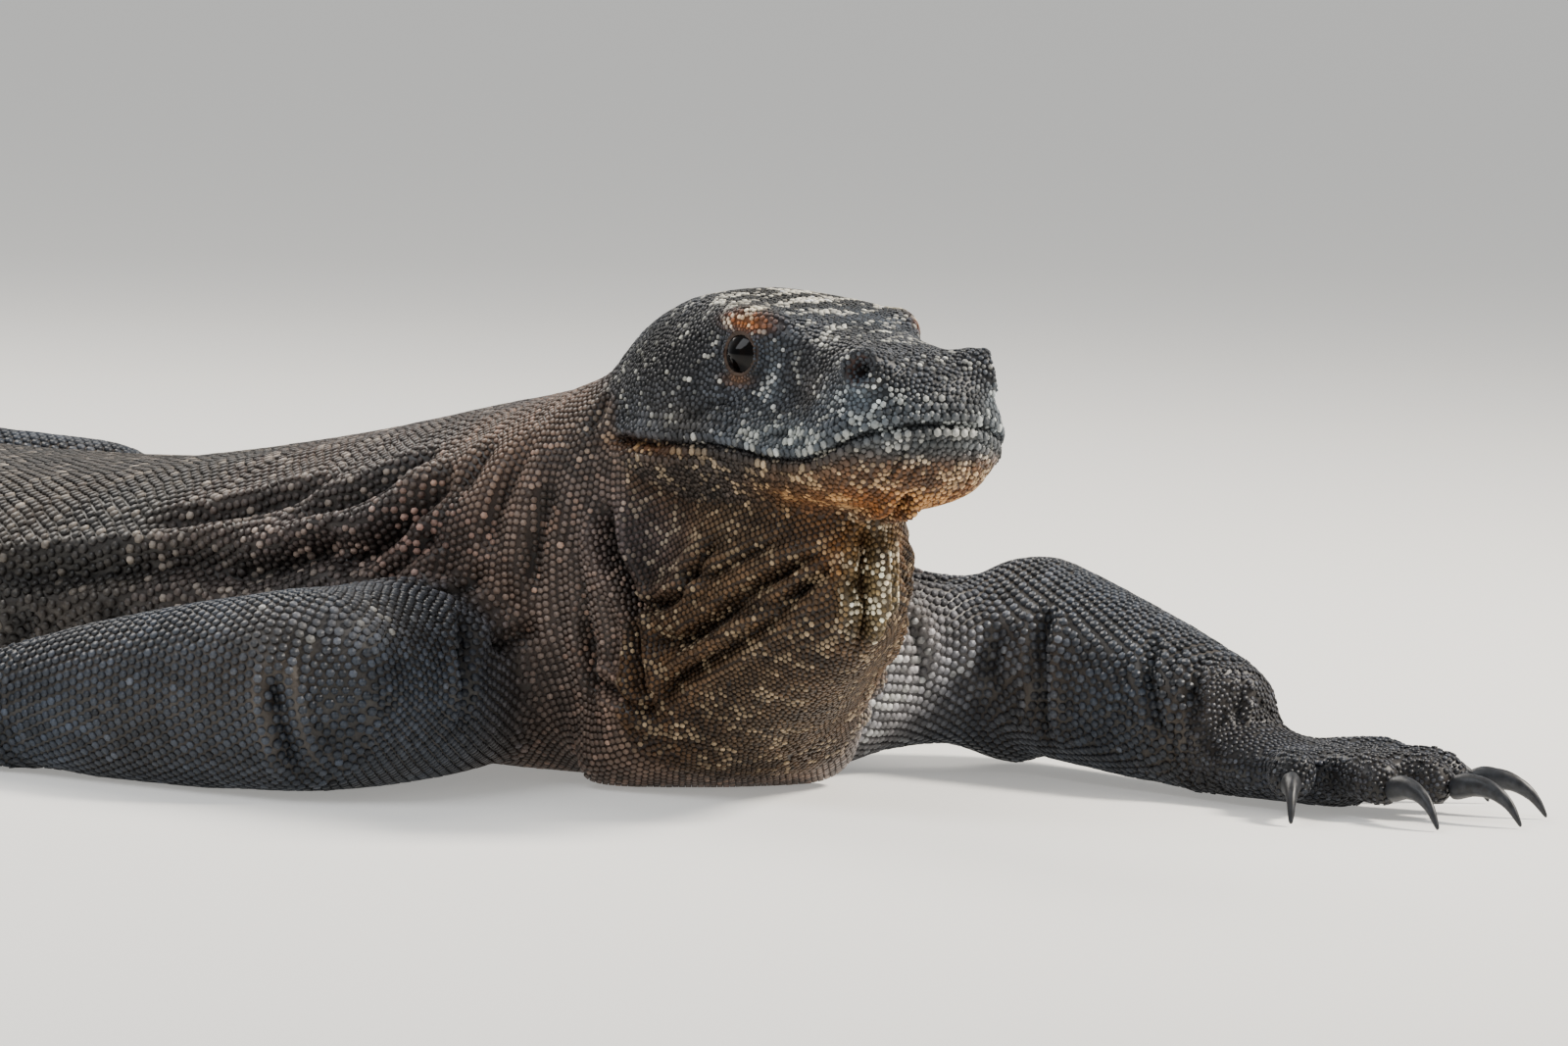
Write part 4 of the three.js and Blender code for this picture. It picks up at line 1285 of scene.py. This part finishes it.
def modelScale():
    bpy.ops.mesh.primitive_cylinder_add(vertices=scaleShape["sides"], radius=0.5, depth=1, location=(0, 0, 0))
    scale = bpy.context.object
    bpy.context.tool_settings.mesh_select_mode = (False, False, True)
    for face in scale.data.polygons:
        face.select = face.normal.z > 0.9
    bpy.ops.object.mode_set(mode="EDIT")
    bpy.ops.transform.resize(value=(scaleShape["topShare"], scaleShape["topShare"], 1))
    bpy.ops.object.mode_set(mode="OBJECT")
    points = np.array([list(v.co) for v in scale.data.vertices])
    points[:, 2] = np.where(points[:, 2] > 0, scaleShape["height"], scaleShape["foot"])
    points[:, 1] *= scaleShape["longer"]
    faces = [list(face.vertices) for face in scale.data.polygons]
    bpy.data.objects.remove(scale)
    return points, faces


def lieOf(points, owner):
    # the way the scales lie at each point
    lie = np.zeros((len(points), 3))
    back = backOf(points)
    turn = np.radians(hermite(bodyTurns["back"], bodyTurns["turn"], back))
    lie[:] = np.stack([np.sin(turn), np.cos(turn), np.zeros(len(points))], 1)
    tilt = math.radians(throatRows["tilt"])
    toward = {"head": -headAhead, "lower_jaw": -headAhead}
    toward["throat"] = headAhead * math.sin(tilt) - np.array([0, 0, math.cos(tilt)])
    for limb, nodes in limbNodes.items():
        joints = limbJoints(limb)
        toward[nodes[0]] = joints[1] - joints[0]
        toward[nodes[1]] = joints[2] - joints[1]
        low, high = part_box(nodes[2])
        toward[nodes[2]] = (np.array(low) + np.array(high)) * 500 - joints[2]
    for node, direction in toward.items():
        lie[owner == flesh.index(node)] = direction / np.linalg.norm(direction)
    return lie


mapRoom = {"from": 0.01, "length": 0.98, "stripeFrom": 0.04, "stripeLength": 0.92}


def unwrapPlace(points, owner, nodes):
    # along and around the skin: where each scale's patch goes on its piece's map
    along, around = np.zeros(len(points)), np.zeros(len(points))
    stripes = {node: i for i, node in enumerate(nodes)}
    for node, stripe in stripes.items():
        mine = owner == flesh.index(node)
        if not mine.any():
            continue
        low, high = points[mine].min(0), points[mine].max(0)
        centre = (low + high) / 2
        direction = lieOf(points[mine], owner[mine]).mean(0)
        direction /= np.linalg.norm(direction)
        across = np.cross(direction, [0.0, 0, 1])
        if np.linalg.norm(across) < 0.3:
            across = headLeft
        across /= np.linalg.norm(across)
        upward = np.cross(across, direction)
        away = points[mine] - centre
        run = away @ direction
        along[mine] = (run - run.min()) / max(np.ptp(run), 1e-6)
        turn = np.arctan2(away @ across, away @ upward) / (2 * math.pi) + 0.5
        around[mine] = (stripe + mapRoom["stripeFrom"] + mapRoom["stripeLength"] * turn) / len(stripes)
    return np.stack([mapRoom["from"] + mapRoom["length"] * run for run in (along, around)], 1)


coatPieces = {
    "scales_head": ["head"],
    "scales_jaw": ["lower_jaw", "throat"],
    "scales_neck": ["neck"],
    "scales_chest": ["chest"],
    "scales_trunk": ["trunk"],
    "scales_loins": ["loins", "pelvis"],
    "scales_tail": tails,
    "scales_arms": arms,
    "scales_legs": legs,
    "scales_hands": ["hand_left", "hand_right"],
    "scales_feet": ["foot_left", "foot_right"],
}
scaleLook = {
    "patch": 0.0015,  # half the width of a scale's patch on the map
    "patchTop": 0.8,
    # painted highlight: each scale's top is this much lighter than its colour
    "topHighlight": 1.12,
    "uneven": 0.28,
    "sizeUneven": 0.05,
    "lightGain": 1.1,
    "lightEdge": 0.2,
    "palest": (0.55, 1),  # a light scale takes between this much and all of its light colour
    "roomFrom": 0.72,
    "roomTo": 1.2,
}


def scaleSizes(points, pitch):
    # each scale is as wide as the room its neighbours leave
    tree = treeOf(points)
    room = np.array([np.mean([n[2] for n in tree.find_n(p, 6)[1:]]) for p in points.tolist()])
    return np.clip(room, pitch * scaleLook["roomFrom"], pitch * scaleLook["roomTo"])


def buildCoatPiece(title, nodes, template, faces):
    mine = np.isin(scaleOwner, [flesh.index(node) for node in nodes])
    points, normals, owner = scalePoints[mine], scaleNormals[mine], scaleOwner[mine]
    size, lie = scaleSize[mine], scaleLie[mine]
    rng = np.random.default_rng(len(points))
    lie = lie - normals * (lie * normals).sum(1)[:, None]
    lie /= np.maximum(np.linalg.norm(lie, axis=1), 1e-6)[:, None]
    across = np.cross(lie, normals)
    size = size * scaleShape["overlap"] * (1 + scaleLook["sizeUneven"] * rng.normal(size=len(points)))
    lift = size * scaleHeight[mine]
    corners = (
        points[:, None, :]
        + across[:, None, :] * template[None, :, :1] * size[:, None, None]
        + lie[:, None, :] * template[None, :, 1:2] * size[:, None, None]
        + normals[:, None, :] * template[None, :, 2:] * lift[:, None, None]
    )
    count, perScale = len(points), len(template)
    mesh = bpy.data.meshes.new(title)
    loops = np.concatenate([np.array(face) for face in faces])
    totals = np.array([len(face) for face in faces])
    mesh.vertices.add(count * perScale)
    mesh.vertices.foreach_set("co", (corners / 1000).ravel())
    mesh.loops.add(count * len(loops))
    allLoops = (np.arange(count)[:, None] * perScale + loops[None]).ravel()
    mesh.loops.foreach_set("vertex_index", allLoops)
    mesh.polygons.add(count * len(faces))
    starts = np.concatenate([[0], np.cumsum(np.tile(totals, count))[:-1]])
    mesh.polygons.foreach_set("loop_start", starts)
    mesh.update(calc_edges=True)
    under = coatFaces[scaleFaces[mine]]
    base, speck, gap = (values[under].mean(1) for values in (skinBase, skinSpeck, skinGap))
    light = (speck[:, 3] * scaleLook["lightGain"] - rng.random(count)) / scaleLook["lightEdge"]
    light = np.clip(light, 0, 1) * rng.uniform(*scaleLook["palest"], count)
    share = light[:, None]
    colour = base * (1 - share) + speck[:, :3] * share
    colour *= np.exp(scaleLook["uneven"] * rng.normal(size=count))[:, None]
    footShare = np.array([hideColours[groupOf(node)][4] for node in flesh])[owner][:, None]
    foot = colour * (1 - footShare) + gap * footShare
    onTop = (template[:, 2] > 0)[None, :, None]
    tint = np.ones((count, perScale, 4))
    # painted highlight on each scale's top; its foot takes on the colour between the scales
    tint[:, :, :3] = np.where(onTop, colour[:, None, :] * scaleLook["topHighlight"], foot[:, None, :])
    place = unwrapPlace(points, owner, nodes)
    flat = template[:, :2] * scaleLook["patch"] * 2 * np.where(template[:, 2:] > 0, scaleLook["patchTop"], 1)
    maps = mesh.uv_layers.new(name="OFBake")
    corner = (place[:, None, :] + flat[None]).reshape(-1, 2)[allLoops]
    maps.data.foreach_set("uv", np.clip(corner, 0, 1).ravel())
    piece = bpy.data.objects.new(title, mesh)
    bpy.context.scene.collection.objects.link(piece)
    writeTint(piece, np.clip(tint, 0.002, 1))
    selectOnly(piece)
    bpy.ops.object.shade_smooth()
    mesh.materials.append(headMaterial if title in ("scales_head", "scales_jaw") else scaleMaterial)
    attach(piece, "root")
    triangles = count * int((totals - 2).sum())
    print(title, count, "scales,", triangles, "triangles")
    return triangles


# materials
def newMaterial(title):
    material = bpy.data.materials.new(title)
    material.use_nodes = True
    return material, material.node_tree.nodes, material.node_tree.links.new


def addNode(nodes, kind, values=None, **settings):
    node = nodes.new("ShaderNode" + kind)
    for name, value in settings.items():
        setattr(node, name, value)
    for name, value in (values or {}).items():
        node.inputs[name].default_value = value
    return node


def multiplied(nodes):
    return addNode(nodes, "Mix", data_type="RGBA", blend_type="MULTIPLY")


mottleLook = {
    "grain": {"Scale": 900, "Detail": 3},
    "patches": {"Scale": 70, "Detail": 4},
    "tint": {"From Min": 0.3, "From Max": 0.7, "To Min": 0.82, "To Max": 1.18},
    "gloss": {"From Min": 0.3, "From Max": 0.7, "To Min": 0.36, "To Max": 0.58},
    "bump": {"Strength": 0.25, "Distance": 0.0004},
}


def mottleGroup():
    # fine unevenness shared by the skin and the scales: a tint, a grain for the bump, and the gloss
    group = bpy.data.node_groups.new("hideMottle", "ShaderNodeTree")
    group.interface.new_socket("Colour", in_out="INPUT", socket_type="NodeSocketColor")
    group.interface.new_socket("Colour", in_out="OUTPUT", socket_type="NodeSocketColor")
    group.interface.new_socket("Normal", in_out="OUTPUT", socket_type="NodeSocketVector")
    group.interface.new_socket("Rough", in_out="OUTPUT", socket_type="NodeSocketFloat")
    nodes, link = group.nodes, group.links.new
    entry = nodes.new("NodeGroupInput")
    leave = nodes.new("NodeGroupOutput")
    where = addNode(nodes, "TexCoord")
    fine = addNode(nodes, "TexNoise", mottleLook["grain"])
    broad = addNode(nodes, "TexNoise", mottleLook["patches"])
    for node in (fine, broad):
        link(where.outputs["Object"], node.inputs["Vector"])
    spread = addNode(nodes, "MapRange", mottleLook["tint"])
    link(fine.outputs["Fac"], spread.inputs["Value"])
    shade = multiplied(nodes)
    shade.inputs["Factor"].default_value = 1
    link(entry.outputs["Colour"], shade.inputs["A"])
    link(spread.outputs["Result"], shade.inputs["B"])
    link(shade.outputs["Result"], leave.inputs["Colour"])
    bump = addNode(nodes, "Bump", mottleLook["bump"])
    link(fine.outputs["Fac"], bump.inputs["Height"])
    link(bump.outputs["Normal"], leave.inputs["Normal"])
    rough = addNode(nodes, "MapRange", mottleLook["gloss"])
    link(broad.outputs["Fac"], rough.inputs["Value"])
    link(rough.outputs["Result"], leave.inputs["Rough"])
    return group


def hideMaterial(title, specular):
    material, nodes, link = newMaterial(title)
    shader = nodes["Principled BSDF"]
    tint = addNode(nodes, "Attribute", attribute_name="tint")
    mottle = addNode(nodes, "Group", node_tree=hideMottle)
    link(tint.outputs["Color"], mottle.inputs["Colour"])
    link(mottle.outputs["Colour"], shader.inputs["Base Color"])
    link(mottle.outputs["Normal"], shader.inputs["Normal"])
    link(mottle.outputs["Rough"], shader.inputs["Roughness"])
    shader.inputs["Specular IOR Level"].default_value = specular
    return material


hideMottle = mottleGroup()
specularLevels = {"scales": 0.38, "headScales": 0.24, "skin": 0.35}
scaleMaterial = hideMaterial("scaleHide", specularLevels["scales"])
headMaterial = hideMaterial("headHide", specularLevels["headScales"])
skinMaterial = hideMaterial("bareHide", specularLevels["skin"])

scaleTemplate, scaleTemplateFaces = modelScale()
scaleSize = scaleSizes(scalePoints, scalePitch)
scaleLie = lieOf(scalePoints, scaleOwner)
scaleSize[: len(specialSize)] = specialSize
scaleLie[: len(specialLie)] = specialLie
scaleHeight = np.array([domeHeights.get(groupOf(node), 1) for node in flesh])[scaleOwner]
total = 0
for title, nodes in coatPieces.items():
    total += buildCoatPiece(title, nodes, scaleTemplate, scaleTemplateFaces)
print("coat:", len(scalePoints), "scales,", total, "triangles")


# the finished skin
skinFinish = {"triangles": 192000, "baseShare": 0.15}


def paintSkin():
    tint = np.ones((len(skinGap), 4))
    tint[:, :3] = skinGap * (1 - skinFinish["baseShare"]) + skinBase * skinFinish["baseShare"]
    writeTint(skin, tint)


paintSkin()
triangles = sum(len(face.vertices) - 2 for face in skin.data.polygons)
applyModifier(skin, "DECIMATE", ratio=skinFinish["triangles"] / triangles)
selectOnly(skin)
bpy.ops.object.shade_smooth()
skin.data.materials.append(skinMaterial)
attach(skin, "root")
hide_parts(*flesh)
print("skin:", sum(len(face.vertices) - 2 for face in skin.data.polygons), "triangles")


# eyes
eyeLook = {
    "radius": 12.6,
    "cornea": 0.9,
    "corneaAngle": 34,
    "pupil": 15,  # half angles, in degrees
    "pupilFade": 3,
    "iris": 33,
    "rimFade": 8,
    "whiteFade": 4,
    "pupilColour": "#020202",
    "irisColour": "#100a06",
    "irisRim": "#070504",
    "whiteColour": "#0d0907",
    "fleck": {"Scale": 1400, "Detail": 4},
    "fleckTint": {"To Min": 0.6, "To Max": 1.4},
    "wet": {"Roughness": 0.12, "Specular IOR Level": 0.12, "Coat Weight": 0.12, "Coat Roughness": 0.03},
}


def eyeMaterialOf():
    material, nodes, link = newMaterial("wetEye")
    shader = nodes["Principled BSDF"]
    tint = addNode(nodes, "Attribute", attribute_name="tint")
    where = addNode(nodes, "TexCoord")
    fleck = addNode(nodes, "TexNoise", eyeLook["fleck"])
    link(where.outputs["Object"], fleck.inputs["Vector"])
    spread = addNode(nodes, "MapRange", eyeLook["fleckTint"])
    link(fleck.outputs["Fac"], spread.inputs["Value"])
    shade = multiplied(nodes)
    shade.inputs["Factor"].default_value = 1
    link(tint.outputs["Color"], shade.inputs["A"])
    link(spread.outputs["Result"], shade.inputs["B"])
    link(shade.outputs["Result"], shader.inputs["Base Color"])
    for name, value in eyeLook["wet"].items():
        shader.inputs[name].default_value = value
    return material


def buildEye(node, side):
    centre = fromHead(eyeCentre(side))
    gaze = gazeOf(side) @ headAxes
    turned = Vector(gaze).to_track_quat("Z", "Y").to_euler()
    bpy.ops.mesh.primitive_uv_sphere_add(
        segments=64, ring_count=48, radius=eyeLook["radius"] / 1000, location=centre / 1000, rotation=turned
    )
    eye = bpy.context.object
    eye.name = "eyeball_" + ("left" if side > 0 else "right")
    bpy.ops.object.transform_apply(location=True, rotation=True, scale=True)
    bpy.ops.object.shade_smooth()
    points = readPoints(eye)
    away = points - centre
    reach = np.linalg.norm(away, axis=1)
    angle = np.degrees(np.arccos(np.clip(away @ gaze / reach, -1, 1)))
    bulge = eyeLook["cornea"] * (1 - ease(angle / eyeLook["corneaAngle"]))
    writePoints(eye, points + away / reach[:, None] * bulge[:, None])
    tint = np.ones((len(points), 4))
    rim = ease((angle - eyeLook["iris"] + eyeLook["rimFade"]) / eyeLook["rimFade"])[:, None]
    iris = paint(eyeLook["irisColour"]) * (1 - rim) + paint(eyeLook["irisRim"]) * rim
    outer = ease((angle - eyeLook["iris"]) / eyeLook["whiteFade"])[:, None]
    iris = iris * (1 - outer) + paint(eyeLook["whiteColour"]) * outer
    beyondPupil = ease((angle - eyeLook["pupil"]) / eyeLook["pupilFade"])[:, None]
    tint[:, :3] = paint(eyeLook["pupilColour"]) * (1 - beyondPupil) + iris * beyondPupil
    writeTint(eye, tint)
    eye.data.materials.append(eyeMaterial)
    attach(eye, "root")
    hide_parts(node)


eyeMaterial = eyeMaterialOf()
for node, side in (("eye_left", 1), ("eye_right", -1)):
    buildEye(node, side)
print("eyes made")


# claws: the horn of each toe, rounded and dull
clawLook = {
    "swell": 0.5,
    "stops": [(0.35, (0.011, 0.012, 0.014, 1)), (0.7, (0.028, 0.031, 0.038, 1))],
    "grain": {"Scale": 260, "Detail": 5},
    "bump": {"Strength": 0.2, "Distance": 0.0004},
    "roughness": 0.46,
    "specular": 0.4,
}


def clawMaterialOf():
    material, nodes, link = newMaterial("clawHorn")
    shader = nodes["Principled BSDF"]
    where = addNode(nodes, "TexCoord")
    grain = addNode(nodes, "TexNoise", clawLook["grain"])
    link(where.outputs["Object"], grain.inputs["Vector"])
    ramp = addNode(nodes, "ValToRGB")
    for stop, (place, colour) in zip(ramp.color_ramp.elements, clawLook["stops"]):
        stop.position = place
        stop.color = colour
    link(grain.outputs["Fac"], ramp.inputs["Fac"])
    link(ramp.outputs["Color"], shader.inputs["Base Color"])
    bump = addNode(nodes, "Bump", clawLook["bump"])
    link(grain.outputs["Fac"], bump.inputs["Height"])
    link(bump.outputs["Normal"], shader.inputs["Normal"])
    shader.inputs["Roughness"].default_value = clawLook["roughness"]
    shader.inputs["Specular IOR Level"].default_value = clawLook["specular"]
    return material


def buildClaw(node):
    claw = joinedCopy([node], node + "_horn")
    applyModifier(claw, "SUBSURF", levels=2, render_levels=2)
    applyModifier(claw, "DISPLACE", strength=clawLook["swell"] / 1000, mid_level=0)
    selectOnly(claw)
    bpy.ops.object.shade_smooth()
    claw.data.materials.append(clawMaterial)
    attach(claw, "root")
    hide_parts(node)


clawMaterial = clawMaterialOf()
claws = [node for node in frame["nodes"] if node.startswith("claw_")]
for node in claws:
    buildClaw(node)
print("claws made:", len(claws))
